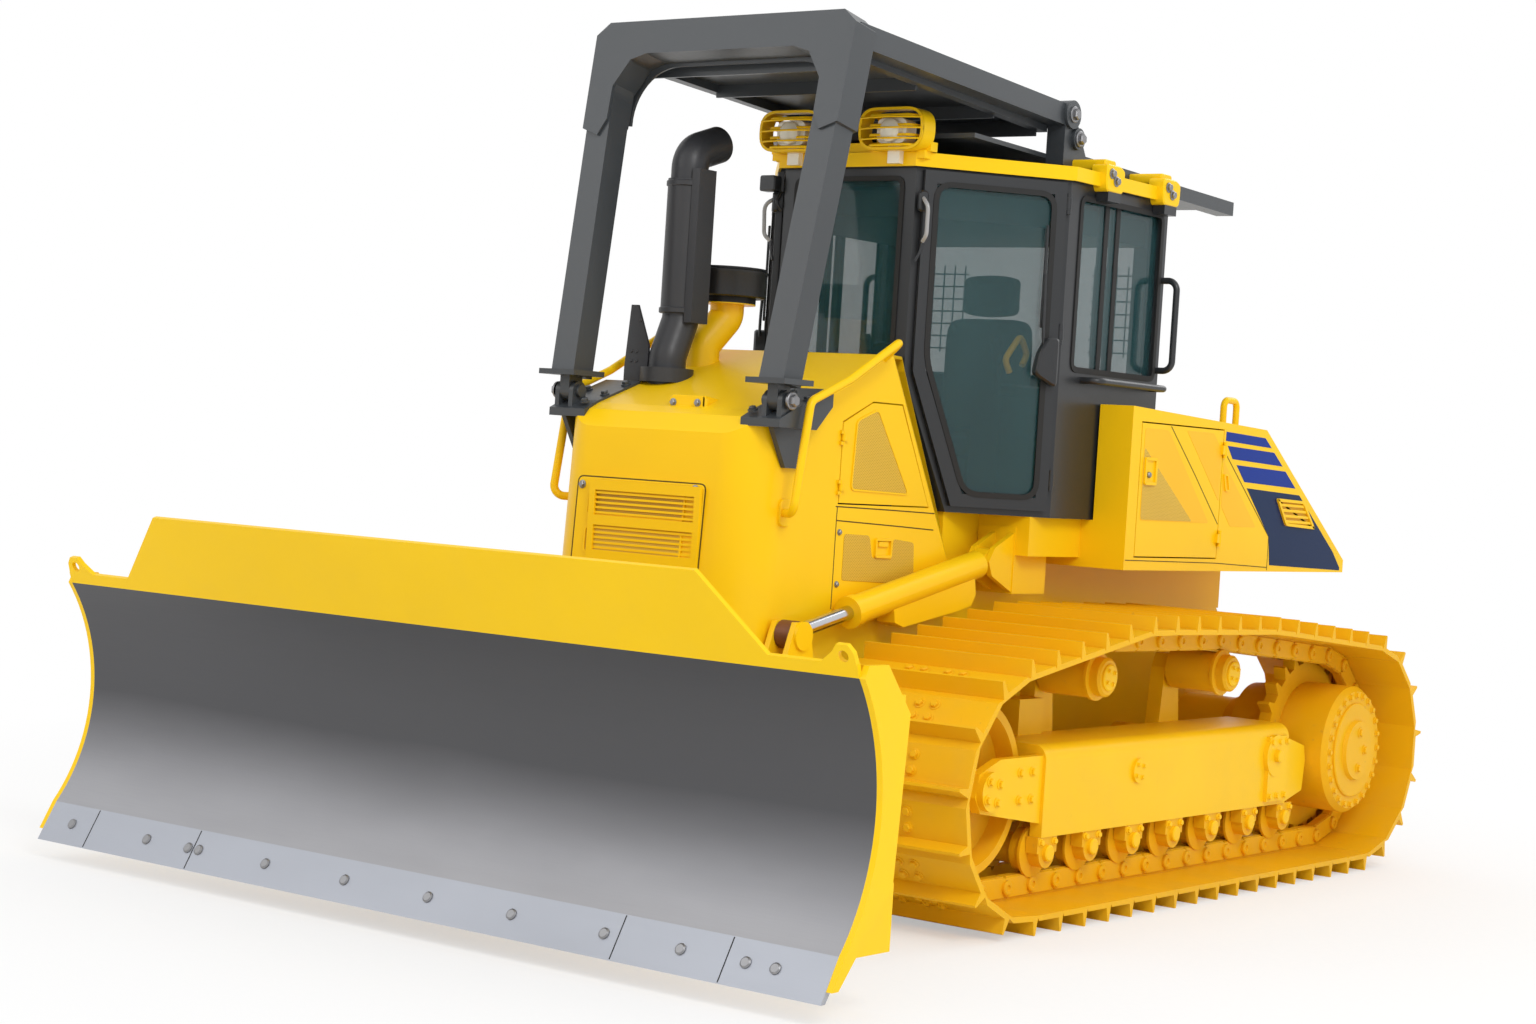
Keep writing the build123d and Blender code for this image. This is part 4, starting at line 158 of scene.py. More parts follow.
class Graph:
    """The node tree of a material or of the world, written as expressions."""

    def __init__(self, name: str, world: bool = False) -> None:
        """Start an empty tree of that name, in a new material or a new world."""
        self.owner = (bpy.data.worlds if world else bpy.data.materials).new(name)
        self.owner.use_nodes = True
        self.tree = self.owner.node_tree
        self.tree.nodes.clear()
        self.output = self.tree.nodes.new("ShaderNodeOutputWorld" if world else "ShaderNodeOutputMaterial")

    def node(
        self, kind: str, settings: Optional[dict] = None, values: Optional[dict] = None
    ) -> bpy.types.Node:
        """Add a node of a type; its settings are set first, then its sockets' values or links.

        Args:
            kind: the node's type.
            settings: attributes of the node, such as an operation.
            values: sockets by name or number, each with a value or a Wire.

        Returns:
            The new node.
        """
        made = self.tree.nodes.new(kind)
        for key, value in (settings or {}).items():
            setattr(made, key, value)
        for key, value in (values or {}).items():
            if isinstance(value, Wire):
                self.tree.links.new(value.socket, made.inputs[key])
            else:
                made.inputs[key].default_value = value
        return made

    def maths(self, operation: str, first: Value, second: Value = 0.0) -> Wire:
        """A Math node's result on one or two values."""
        made = self.node("ShaderNodeMath", {"operation": operation}, {0: first, 1: second})
        return Wire(self, made.outputs[0])

    def mix(self, share: Value, first: Value, second: Value) -> Wire:
        """A colour between two, by a share from 0 to 1."""
        values = {0: share, 6: full(first), 7: full(second)}
        made = self.node("ShaderNodeMix", {"data_type": "RGBA"}, values)
        return Wire(self, made.outputs[2])

    def place(self) -> Wire:
        """Object coordinates, in metres."""
        return Wire(self, self.node("ShaderNodeTexCoord").outputs["Object"])

    def axis(self, letter: str) -> Wire:
        """One of the object coordinates X, Y or Z."""
        made = self.node("ShaderNodeSeparateXYZ", None, {0: self.place()})
        return Wire(self, made.outputs[letter])

    def noise(self, scale: float, detail: float = 3.0, stretch: Sequence[float] = (1, 1, 1)) -> Wire:
        """Smooth noise from 0 to 1 on object coordinates, stretched by a factor along each axis.

        Args:
            scale: how many features to a metre.
            detail: how many octaves.
            stretch: the factor on each axis before the noise.

        Returns:
            The noise as a value.
        """
        spread = self.node("ShaderNodeMapping", None, {"Vector": self.place(), "Scale": tuple(stretch)})
        made = self.node(
            "ShaderNodeTexNoise", None, {
                "Vector": Wire(self, spread.outputs[0]), "Scale": scale, "Detail": detail
            }
        )
        return Wire(self, made.outputs[0])

    def bump(self, height: Value, strength: float, depth: float) -> Wire:
        """A normal tilted by a height field of that depth in metres."""
        made = self.node("ShaderNodeBump", None, {"Height": height, "Strength": strength, "Distance": depth})
        return Wire(self, made.outputs[0])

    def surface(self, values: dict) -> bpy.types.Material:
        """Finish the material with one Principled shader.

        Args:
            values: its sockets by name.

        Returns:
            The finished material.
        """
        shader = self.node("ShaderNodeBsdfPrincipled", None, values)
        self.tree.links.new(shader.outputs[0], self.output.inputs[0])
        return self.owner

    def ray(self, kind: str) -> Wire:
        """One for a ray of that kind, as the light path node names it."""
        return Wire(self, self.node("ShaderNodeLightPath").outputs[kind])

    def blend(self, share: Value, first: bpy.types.Node, second: bpy.types.Node) -> None:
        """Finish the tree with two shaders mixed by a share from 0 to 1."""
        made = self.node("ShaderNodeMixShader", None, {0: share})
        for number, shader in ((1, first), (2, second)):
            self.tree.links.new(shader.outputs[0], made.inputs[number])
        self.tree.links.new(made.outputs[0], self.output.inputs[0])


def full(value: Value) -> Value:
    """A colour with its fourth channel, or the wire as it is."""
    return value if isinstance(value, Wire) else (*value, 1.0)


def shade(colour: Colour, factor: float) -> Colour:
    """A colour times a factor, no channel over one."""
    return tuple(min(1.0, channel * factor) for channel in colour)


@dataclass(frozen=True)
class Paint:
    """Sprayed enamel: slow tone change, faint dust low down, orange peel and worn specks."""

    name: str
    colour: Colour
    rough: float = 0.3
    coat: float = 0.3
    dust: float = 0.06
    wear: float = 0.0
    under: Colour = (0.16, 0.13, 0.1)
    spec: float = 0.14

    def build(self) -> bpy.types.Material:
        """The paint as a material."""
        g = Graph(self.name)
        slow = g.noise(1.7, 2.0)
        fine = g.noise(55.0, 3.0)
        tone = g.mix(slow, shade(self.colour, 0.93), shade(self.colour, 1.05))
        low = 1.0 - g.axis("Z").ramp(0.1, 1.5)
        dusty = g.noise(6.0, 5.0).ramp(0.42, 0.75) * (low * 0.8 + 0.2) * self.dust
        tone = g.mix(dusty, tone, (0.33, 0.25, 0.15))
        worn = g.noise(24.0, 6.0).ramp(0.66, 0.72) * g.noise(3.1, 2.0).ramp(0.45, 0.65) * self.wear
        tone = g.mix(worn, tone, self.under)
        rough = fine * 0.1 + (self.rough - 0.05) + dusty * 0.5 + worn * 0.2
        peel = g.noise(420.0, 2.0) * 0.5 + fine * 0.5
        return g.surface(
            {
                "Base Color": tone,
                "Roughness": rough,
                "Specular IOR Level": self.spec,
                "Coat Weight": self.coat,
                "Coat Roughness": 0.12,
                "Normal": g.bump(peel, 0.12, 0.0006),
            }
        )


@dataclass(frozen=True)
class Steel:
    """Bare plate: long brushed or rolled streaks along X, cloudy stain and fine scratches, with painted shade that
    darkens it towards the top.
    """

    name: str
    colour: Colour
    rough: float = 0.35
    streak: float = 0.25
    stretch: tuple[float, float, float] = (0.6, 30.0, 30.0)
    metal: float = 0.9
    painted_top_shade: float = 0.0

    def build(self) -> bpy.types.Material:
        """The steel as a material."""
        g = Graph(self.name)
        lines = g.noise(9.0, 6.0, self.stretch)
        cloud = g.noise(1.1, 4.0, (0.5, 1.0, 1.6))
        tone = g.mix(lines, shade(self.colour, 1 - self.streak), shade(self.colour, 1 + self.streak))
        tone = g.mix(cloud.ramp(0.35, 0.75) * 0.35, tone, shade(self.colour, 0.7))
        # Painted shade and reflection: the colour darkens towards the top, so the foot stands for the floor's
        # bright reflection and the upper part for shade.
        height = (g.axis("Z") + cloud * 0.12).ramp(0.3, 0.72)
        tone = g.mix(height * self.painted_top_shade, tone, shade(self.colour, 0.22))
        return g.surface(
            {
                "Base Color": tone,
                "Metallic": self.metal,
                "Roughness": lines * 0.16 + (self.rough - 0.08) + cloud * 0.06,
                "Normal": g.bump(lines, 0.1, 0.0008),
            }
        )


@dataclass(frozen=True)
class TwoTone:
    """Enamel of one colour below a height and another above it."""

    name: str
    below: Colour
    above: Colour
    height: float

    def build(self) -> bpy.types.Material:
        """The two-tone enamel as a material."""
        g = Graph(self.name)
        slow = g.noise(3.0, 3.0)
        step = g.axis("Z") > self.height
        low = g.mix(slow, shade(self.below, 0.94), self.below)
        high = g.mix(slow, self.above, shade(self.above, 1.4))
        tone = g.mix(step, low, high)
        return g.surface(
            {
                "Base Color": tone,
                "Roughness": slow * 0.1 + (step * 0.1 + 0.3),
                "Specular IOR Level": 0.3,
                "Normal": g.bump(g.noise(300.0, 2.0), 0.12, 0.0006),
            }
        )


@dataclass(frozen=True)
class RodAndEye:
    """A chromed rod whose eye, inside a circle about its pin in the Y-Z plane, is rust-brown forging."""

    name: str
    pin: tuple[float, float]
    radius: float
    chrome: Colour = (0.66, 0.67, 0.7)
    brown: Colour = (0.16, 0.062, 0.03)

    def build(self) -> bpy.types.Material:
        """The rod's finish as a material."""
        g = Graph(self.name)
        y, z = g.axis("Y") - self.pin[0], g.axis("Z") - self.pin[1]
        eye = (y * y + z * z).ramp(self.radius**2 * 1.05, self.radius**2 * 0.98)
        fine = g.noise(60.0, 4.0, (6, 1, 1))
        rust = g.noise(14.0, 5.0)
        brown = g.mix(rust, shade(self.brown, 0.6), shade(self.brown, 1.6))
        return g.surface(
            {
                "Base Color": g.mix(eye, g.mix(fine, shade(self.chrome, 0.9), self.chrome), brown),
                "Metallic": 1.0 - eye * 0.7,
                "Roughness": eye * 0.35 + (fine * 0.06 + 0.12),
                "Normal": g.bump(rust * eye, 0.3, 0.001),
            }
        )


@dataclass(frozen=True)
class Pane:
    """Tinted safety glass, faintly streaked."""

    name: str
    colour: Colour = (0.02, 0.064, 0.07)
    clear: float = 0.64

    def build(self) -> bpy.types.Material:
        """The glass as a material."""
        g = Graph(self.name)
        film = g.noise(2.3, 4.0, (1, 1, 0.4))
        return g.surface(
            {
                "Base Color": g.mix(film, self.colour, shade(self.colour, 1.9)),
                "Roughness": film * 0.05 + 0.02,
                "Alpha": 1.0 - self.clear + film * 0.08,
                "Coat Weight": 0.6,
                "IOR": 1.5,
            }
        )


@dataclass(frozen=True)
class Plastic:
    """Moulded plastic or rubber with a fine grain."""

    name: str
    colour: Colour
    rough: float = 0.55

    def build(self) -> bpy.types.Material:
        """The plastic as a material."""
        g = Graph(self.name)
        grain = g.noise(700.0, 2.0)
        cloud = g.noise(5.0, 3.0)
        tone = g.mix(cloud, shade(self.colour, 0.85), shade(self.colour, 1.2))
        return g.surface(
            {
                "Base Color": tone,
                "Roughness": cloud * 0.12 + (self.rough - 0.06),
                "Normal": g.bump(grain, 0.25, 0.0005),
            }
        )


@dataclass(frozen=True)
class Cloth:
    """Woven seat cloth: two crossed threads of sine waves, with a worn sheen."""

    name: str
    colour: Colour
    thread: float = 1700.0

    def build(self) -> bpy.types.Material:
        """The cloth as a material."""
        g = Graph(self.name)
        across = g.maths("SINE", g.axis("X") * self.thread)
        along = g.maths("SINE", (g.axis("Y") + g.axis("Z")) * self.thread)
        weave = across * along * 0.5 + 0.5
        rub = g.noise(7.0, 4.0)
        tone = g.mix(weave, shade(self.colour, 0.7), shade(self.colour, 1.3))
        tone = g.mix(rub * 0.4, tone, shade(self.colour, 1.9))
        return g.surface(
            {"Base Color": tone, "Roughness": rub * 0.1 + 0.8, "Normal": g.bump(weave, 0.4, 0.0008)}
        )


@dataclass(frozen=True)
class Mesh:
    """A perforated steel screen in its paint: round holes on a square pitch, filled with painted shade."""

    name: str
    colour: Colour
    painted_hole_shade: Colour
    pitch: float = 0.012
    share: float = 0.25

    def build(self) -> bpy.types.Material:
        """The screen as a material."""
        g = Graph(self.name)
        turn = 2 * math.pi / self.pitch
        rows = g.maths("SINE", (g.axis("X") + g.axis("Y")) * turn)
        cols = g.maths("SINE", g.axis("Z") * turn)
        holes = (rows * cols).ramp(self.share, self.share + 0.2)
        cloud = g.noise(3.0, 3.0)
        tone = g.mix(cloud, shade(self.colour, 0.92), shade(self.colour, 1.06))
        return g.surface(
            {
                # The holes are painted shade: a darker copy of the screen's yellow.
                "Base Color": g.mix(holes, tone, self.painted_hole_shade),
                "Roughness": holes * 0.4 + 0.4,
                "Normal": g.bump(1.0 - holes, 0.5, 0.001),
            }
        )


YELLOW: Colour = (0.97, 0.6, 0.006)
BODY = Paint("body_enamel", YELLOW, rough=0.32, coat=0.05)
PANEL = Paint("panel_enamel", (0.98, 0.53, 0.02), rough=0.4, coat=0.0)
# Painted shade: the tracks' yellow is a darker copy of the body's, lowered to the shoes' shaded brightness; its
# dust and worn specks are the track's own.
TRACK = Paint("track_enamel_painted_shade", (0.86, 0.47, 0.006), rough=0.42, coat=0.03, dust=0.1, wear=0.2)
FRAME = Paint("frame_enamel", (0.97, 0.59, 0.008), rough=0.38, coat=0.05, dust=0.06, wear=0.05)
GUARD = Paint("guard_enamel", (0.044, 0.05, 0.056), rough=0.36, coat=0.1, dust=0.02, spec=0.5)
CABIN = Paint("cabin_enamel", (0.018, 0.02, 0.023), rough=0.34, coat=0.1, dust=0.02, spec=0.5)
# The mouldboard darkens towards its top: painted shade, with a painted reflection of the floor at its foot.
BOARD = Steel("board_steel", (0.38, 0.38, 0.4), rough=0.42, streak=0.08, painted_top_shade=0.92)
EDGE = Steel("edge_plate", (0.43, 0.45, 0.5), rough=0.45, streak=0.05, metal=0.7)
CHROME = Steel("rod_chrome", (0.62, 0.62, 0.64), rough=0.16, streak=0.04, stretch=(40, 1, 1), metal=1.0)
BOLT = Steel("bolt_steel", (0.3, 0.3, 0.31), rough=0.36, streak=0.15, stretch=(20, 20, 20))
LIFT_ROD = RodAndEye("lift_rod_finish", (-1.846, 1.1), 0.062)
PIPE = Paint("stack_enamel", (0.032, 0.033, 0.037), rough=0.42, coat=0.0, dust=0.05, spec=0.5)
CLEANER = TwoTone("cleaner_finish", YELLOW, (0.012, 0.012, 0.013), 2.425)
CAST = Plastic("engine_cast", (0.03, 0.03, 0.03), 0.7)
GLASS = Pane("cab_tint")
DASH = Plastic("dash_grain", (0.03, 0.032, 0.034))
DRUM = Plastic("drum_moulding", (0.013, 0.013, 0.014), 0.42)
RUBBER = Plastic("seal_rubber", (0.01, 0.01, 0.01), 0.7)
# Painted shade: a darker copy of the body's yellow for the back of the side louvre's recess.
VENT_SHADE = Paint("vent_painted_shade", (0.6, 0.3, 0.008), rough=0.5, coat=0.0)
SEAM = Plastic("seam_shadow", (0.1, 0.06, 0.004), 0.8)
SEAT = Cloth("seat_weave", (0.035, 0.04, 0.043))
# The screen's second colour is painted shade, for its holes.
SCREEN = Mesh("screen_yellow", (0.74, 0.47, 0.03), (0.42, 0.25, 0.012))
NAVY = Paint("stripe_navy", (0.004, 0.02, 0.075), rough=0.3, coat=0.0, dust=0.0, spec=0.12)
BLUE = Paint("stripe_blue", (0.002, 0.03, 0.27), rough=0.3, coat=0.0, dust=0.0, spec=0.12)
LENS = Paint("lamp_lens", (0.82, 0.79, 0.66), rough=0.14, coat=0.5, dust=0.0, spec=0.5)
HANDLE = Paint("handle_grey", (0.36, 0.36, 0.36), rough=0.2, coat=0.3, dust=0.0, spec=0.5)

_made: dict[str, bpy.types.Material] = {}


def finish_of(finish: object) -> bpy.types.Material:
    """The finish's material, built once."""
    if finish.name not in _made:
        _made[finish.name] = finish.build()
    return _made[finish.name]


def unit(v: Array) -> Array:
    """Vectors of length one, along the last axis."""
    return v / np.linalg.norm(v, axis=-1, keepdims=True)


def quads(rows: int, cols: int, wrap_rows: bool, wrap_cols: bool) -> Array:
    """Faces between neighbouring points of a grid: each joins (r, c), (r, c+1), (r+1, c+1), (r+1, c).

    Args:
        rows: points along the first way.
        cols: points along the second way.
        wrap_rows: the last row joins the first.
        wrap_cols: the last column joins the first.

    Returns:
        Rows of four point numbers.
    """
    r, c = np.meshgrid(
        np.arange(rows if wrap_rows else rows - 1), np.arange(cols if wrap_cols else cols - 1), indexing="ij"
    )
    r2 = (r + 1) % rows
    c2 = (c + 1) % cols
    return np.stack([r * cols + c, r * cols + c2, r2 * cols + c2, r2 * cols + c], axis=-1).reshape(-1, 4)


@dataclass
class Shape:
    """Points and faces of one piece while it is gathered."""

    points: list[Array] = field(default_factory=list)
    faces: list[list[int]] = field(default_factory=list)
    count: int = 0

    def add(self, points: Array, faces: Sequence[Sequence[int]]) -> "Shape":
        """Put a part in: its points, and faces that count from its own first point."""
        points = np.asarray(points, float).reshape(-1, 3)
        self.faces.extend([[i + self.count for i in face] for face in faces])
        self.points.append(points)
        self.count += len(points)
        return self

    def loft(self, rings: Array, closed: bool = False) -> "Shape":
        """A skin over rings of points, with a flat cap on each end unless the rings close on themselves.

        Args:
            rings: an array of rings by points by three.
            closed: the last ring joins the first.

        Returns:
            This shape.
        """
        rows, cols, _ = rings.shape
        faces = quads(rows, cols, closed, True).tolist()
        if not closed:
            faces.append(list(range(cols)))
            faces.append(list(range((rows - 1) * cols, rows * cols)))
        return self.add(rings, faces)

    def join(self, other: "Shape") -> "Shape":
        """Put another shape's parts in."""
        if other.points:
            self.add(np.concatenate(other.points), other.faces)
        return self

    def mirrored(self) -> "Shape":
        """This shape with its mirror image across the machine's middle."""
        points = np.concatenate(self.points)
        return Shape().add(points, self.faces).add(points * [-1, 1, 1], self.faces)

    def flipped(self) -> "Shape":
        """This shape's mirror image across the machine's middle."""
        return Shape().add(np.concatenate(self.points) * [-1, 1, 1], self.faces)

    def stamp(self, unit_shape: "Shape", origins: Array, xs: Array, zs: Array) -> "Shape":
        """Copies of a small shape: a point (a, b, c) of it lands at origin + a x + b (z cross x) + c z.

        Args:
            unit_shape: the small shape, about its own origin.
            origins: one point for each copy.
            xs: the copy's first axis, of length one.
            zs: the copy's outward axis, of length one.

        Returns:
            This shape.
        """
        base = np.concatenate(unit_shape.points)
        origins = np.atleast_2d(np.asarray(origins, float))
        xs = unit(np.broadcast_to(np.asarray(xs, float), origins.shape))
        zs = unit(np.broadcast_to(np.asarray(zs, float), origins.shape))
        ys = np.cross(zs, xs)
        axes = np.stack([xs, ys, zs], axis=1)
        points = origins[:, None, :] + base @ axes
        shift = np.arange(len(origins)) * len(base)
        faces = [[i + int(s) for i in face] for s in shift for face in unit_shape.faces]
        return self.add(points, faces)


def inset(outline: Array, amount: float) -> Array:
    """An anticlockwise outline drawn in: each corner moves along its two edges' inward normals' mitre."""
    edge = unit(np.roll(outline, -1, axis=0) - outline)
    inward = np.stack([-edge[:, 1], edge[:, 0]], axis=1)
    before = np.roll(inward, 1, axis=0)
    dot = (inward * before).sum(axis=1, keepdims=True)
    return outline + (inward + before) / (1 + dot) * amount


def anticlockwise(outline: Array) -> Array:
    """The outline in anticlockwise order."""
    x, y = outline[:, 0], outline[:, 1]
    area = (x * np.roll(y, -1) - np.roll(x, -1) * y).sum()
    return outline if area > 0 else outline[::-1]


def curved(corner: Array, before: Array, after: Array, radius: float, steps: int) -> Array:
    """Corners rounded: each p becomes the parabola (1-s)^2 a + 2s(1-s) p + s^2 b, where a and b lie on its
    ways to the points before and after it, the radius or 45% of the way off.
    """
    ends = []
    for way in (before - corner, after - corner):
        length = np.linalg.norm(way, axis=1, keepdims=True)
        ends.append((corner + way / length * np.minimum(radius, 0.45 * length))[:, None])
    s = np.linspace(0, 1, steps + 1)[None, :, None]
    curve = (1 - s) ** 2 * ends[0] + 2 * s * (1 - s) * corner[:, None] + s**2 * ends[1]
    return curve.reshape(-1, corner.shape[1])


def rounded(outline: Array, radius: float, steps: int = 4) -> Array:
    """A closed outline with its corners rounded.

    Args:
        outline: corner points.
        radius: how far from the corner the curve starts.
        steps: pieces in each curve.

    Returns:
        The points of the rounded outline.
    """
    return curved(outline, np.roll(outline, 1, axis=0), np.roll(outline, -1, axis=0), radius, steps)


def drawn_in(outline: Array, amount: float) -> Array:
    """An outline in either order, drawn in."""
    return inset(anticlockwise(outline), amount)


def pane(
    width: float, height: float, centre: Sequence[float] = (0, 0), radius: float = 0.05, steps: int = 4
) -> Array:
    """A rectangle about a centre, with rounded corners."""
    return rounded(box_outline(width, height) + centre, radius, steps)


def circle(count: int, start: float = 0.0) -> Array:
    """Points of a circle of radius one in the Y-Z plane, from an angle on."""
    a = np.linspace(0, 2 * np.pi, count, endpoint=False) + start
    return np.stack([np.zeros(count), np.cos(a), np.sin(a)], axis=1)


def box_outline(width: float, height: float) -> Array:
    """A rectangle about the origin."""
    return np.array([[-1, -1], [1, -1], [1, 1], [-1, 1]]) * [width / 2, height / 2]


@dataclass(frozen=True)
class Face:
    """A flat place on the machine: an origin, the direction of its first axis and its outward normal."""

    origin: tuple[float, float, float]
    along: tuple[float, float, float]
    out: tuple[float, float, float]

    def at(self, flat: Array, height: Union[float, Array] = 0.0) -> Array:
        """Points (u, v) of this place, lifted outwards by a height."""
        x = unit(np.array(self.along, float))
        z = unit(np.array(self.out, float))
        y = np.cross(z, x)
        flat = np.asarray(flat, float)
        lift = np.broadcast_to(np.asarray(height, float)[..., None], (*flat.shape[:-1], 1))
        return np.array(self.origin) + flat[..., :1] * x + flat[..., 1:2] * y + lift * z


def plate(place: Face, outline: Array, low: float, high: float, bevel: float = 0.002) -> Shape:
    """A plate with a bevelled rim: rings at its two heights, the outer one drawn in by the bevel.

    Args:
        place: where it lies.
        outline: its corners on that place.
        low: the height of its back.
        high: the height of its front.
        bevel: the size of the bevel at its front.

    Returns:
        The plate's shape.
    """
    outline = anticlockwise(np.asarray(outline, float))
    rings = [place.at(outline, low), place.at(outline, high - bevel), place.at(inset(outline, bevel), high)]
    return Shape().loft(np.stack(rings))


def ring_plate(place: Face, outline: Array, width: float, low: float, high: float) -> Shape:
    """A flat frame: the outline and its copy drawn in by the width, joined front and back."""
    outline = anticlockwise(np.asarray(outline, float))
    inner = inset(outline, width)
    rings = [place.at(outline, low), place.at(outline, high), place.at(inner, high), place.at(inner, low)]
    return Shape().loft(np.stack(rings), closed=True)


def strip(place: Face, path: Sequence[Sequence[float]], width: float, high: float = 0.001) -> Shape:
    """A thin flat band along a path: its rims lie half the width to each side of the path's own direction."""
    path = np.asarray(path, float)
    step = unit(np.gradient(path, axis=0))
    side = np.stack([-step[:, 1], step[:, 0]], axis=1) * width / 2
    outline = np.concatenate([path + side, (path - side)[::-1]])
    return plate(place, outline, SUNK, high, 0.0003)


def left_side(x: float) -> Face:
    """A plane on the machine's left, with u along Y and v up."""
    return Face((x, 0, 0), BACK, LEFT)


def mm(*pairs: tuple[float, float]) -> Array:
    """Corners written in millimetres, as metres."""
    return np.array(pairs, float) * MM


LEVEL = Face((0, 0, 0), LEFT, UP)
CAB_PLAN = mm(
    (345, -800), (780, -250), (780, 620), (700, 700), (-700, 700), (-780, 620), (-780, -250), (-345, -800),
)


def round_path(points: Array, radius: float, steps: int = 5) -> Array:
    """An open path with its inner corners rounded."""
    curve = curved(points[1:-1], points[:-2], points[2:], radius, steps)
    return np.concatenate([points[:1], curve, points[-1:]])


def tube(points: Array, radius: float, bend: float = 0.03, sides: int = 12) -> Shape:
    """A round bar along a path: each ring is path + r (cos a u + sin a v), where u is square to the tangent
    and to the path's own plane, found by singular values, and v is square to both.

    Args:
        points: the path's corners.
        radius: the bar's radius.
        bend: where a corner's rounding starts.
        sides: points around.

    Returns:
        The bar's shape.
    """
    path = round_path(np.asarray(points, float), bend) if len(points) > 2 else np.asarray(points, float)
    tangent = unit(np.gradient(path, axis=0))
    normal = np.linalg.svd(path - path.mean(axis=0))[2][2]
    u = unit(np.cross(tangent, normal))
    v = np.cross(tangent, u)
    a = np.linspace(0, 2 * np.pi, sides, endpoint=False)
    rings = path[:, None] + radius * (
        np.cos(a)[None, :, None] * u[:, None] + np.sin(a)[None, :, None] * v[:, None]
    )
    return Shape().loft(rings)


def turned(profile: Sequence[Sequence[float]], sides: int = 24) -> Shape:
    """A turned piece about its own z: the ring at (height, radius) is (r cos a, r sin a, h).

    Args:
        profile: heights and radii, from back to front.
        sides: points around.

    Returns:
        The piece's shape.
    """
    profile = np.asarray(profile, float)
    a = np.linspace(0, 2 * np.pi, sides, endpoint=False)
    ring = np.stack([np.cos(a), np.sin(a), np.zeros(sides)], axis=1)
    rings = ring[None] * profile[:, 1][:, None, None] + np.array([0, 0, 1.0]) * profile[:, 0][:, None, None]
    return Shape().loft(rings)


def bolt(width: float, height: float) -> Shape:
    """A hexagon head on a round washer: two turned pieces of six and twelve sides."""
    washer = turned([(-0.002, width * 0.68), (height * 0.22, width * 0.68), (height * 0.3, width * 0.6)], 12)
    return washer.join(turned([(0, width / 2), (height * 0.8, width / 2), (height, width * 0.4)], 6))


def round_head(radius: float, height: float) -> Shape:
    """A flat round head, as a plough bolt shows: a low dome with a bevelled rim."""
    return turned([(-0.002, radius), (height * 0.5, radius), (height, radius * 0.72)], 14)


def cap(radius: float, rise: float, bevel: tuple[float, float], sides: int) -> Shape:
    """A round cap whose rim is bevelled by a height and a width."""
    return turned([(-0.002, radius), (rise, radius), (rise + bevel[0], radius - bevel[1])], sides)


def clean(mesh: bpy.types.Mesh, weld: float = 0.0) -> None:
    """Weld points nearer than a distance, and turn every face outwards."""
    work = bmesh.new()
    work.from_mesh(mesh)
    if weld:
        bmesh.ops.remove_doubles(work, verts=work.verts[:], dist=weld)
    bmesh.ops.recalc_face_normals(work, faces=work.faces[:])
    work.to_mesh(mesh)
    work.free()


def make(
    name: str, shape: Shape, finish: object, body: str = "machine"
) -> bpy.types.Object:
    """Turn a shape into an object that rides on a body.

    Args:
        name: the object's name.
        shape: its points and faces.
        finish: what it is covered in.
        body: the CAD body that it moves with.

    Returns:
        The new object.
    """
    mesh = bpy.data.meshes.new(name)
    mesh.from_pydata(np.concatenate(shape.points).tolist(), [], shape.faces)
    clean(mesh)
    mesh.shade_smooth()
    mesh.set_sharp_from_angle(angle=math.radians(SHARP_DEGREES))
    mesh.materials.append(finish_of(finish))
    made = bpy.data.objects.new(name, mesh)
    bpy.context.scene.collection.objects.link(made)
    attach(made, body)
    LOG.info("%s: %d points, %d faces, on %s", name, len(mesh.vertices), len(mesh.polygons), body)
    return made


def both(
    name: str, shape: Shape, finish: object, bodies: tuple[str, str] = MACHINE
) -> None:
    """The same shape on the left and mirrored on the right, each on its own body."""
    if bodies == MACHINE:
        make(name, shape.mirrored(), finish, "machine")
        return
    make(name + "_left", shape, finish, bodies[0])
    make(name + "_right", shape.flipped(), finish, bodies[1])


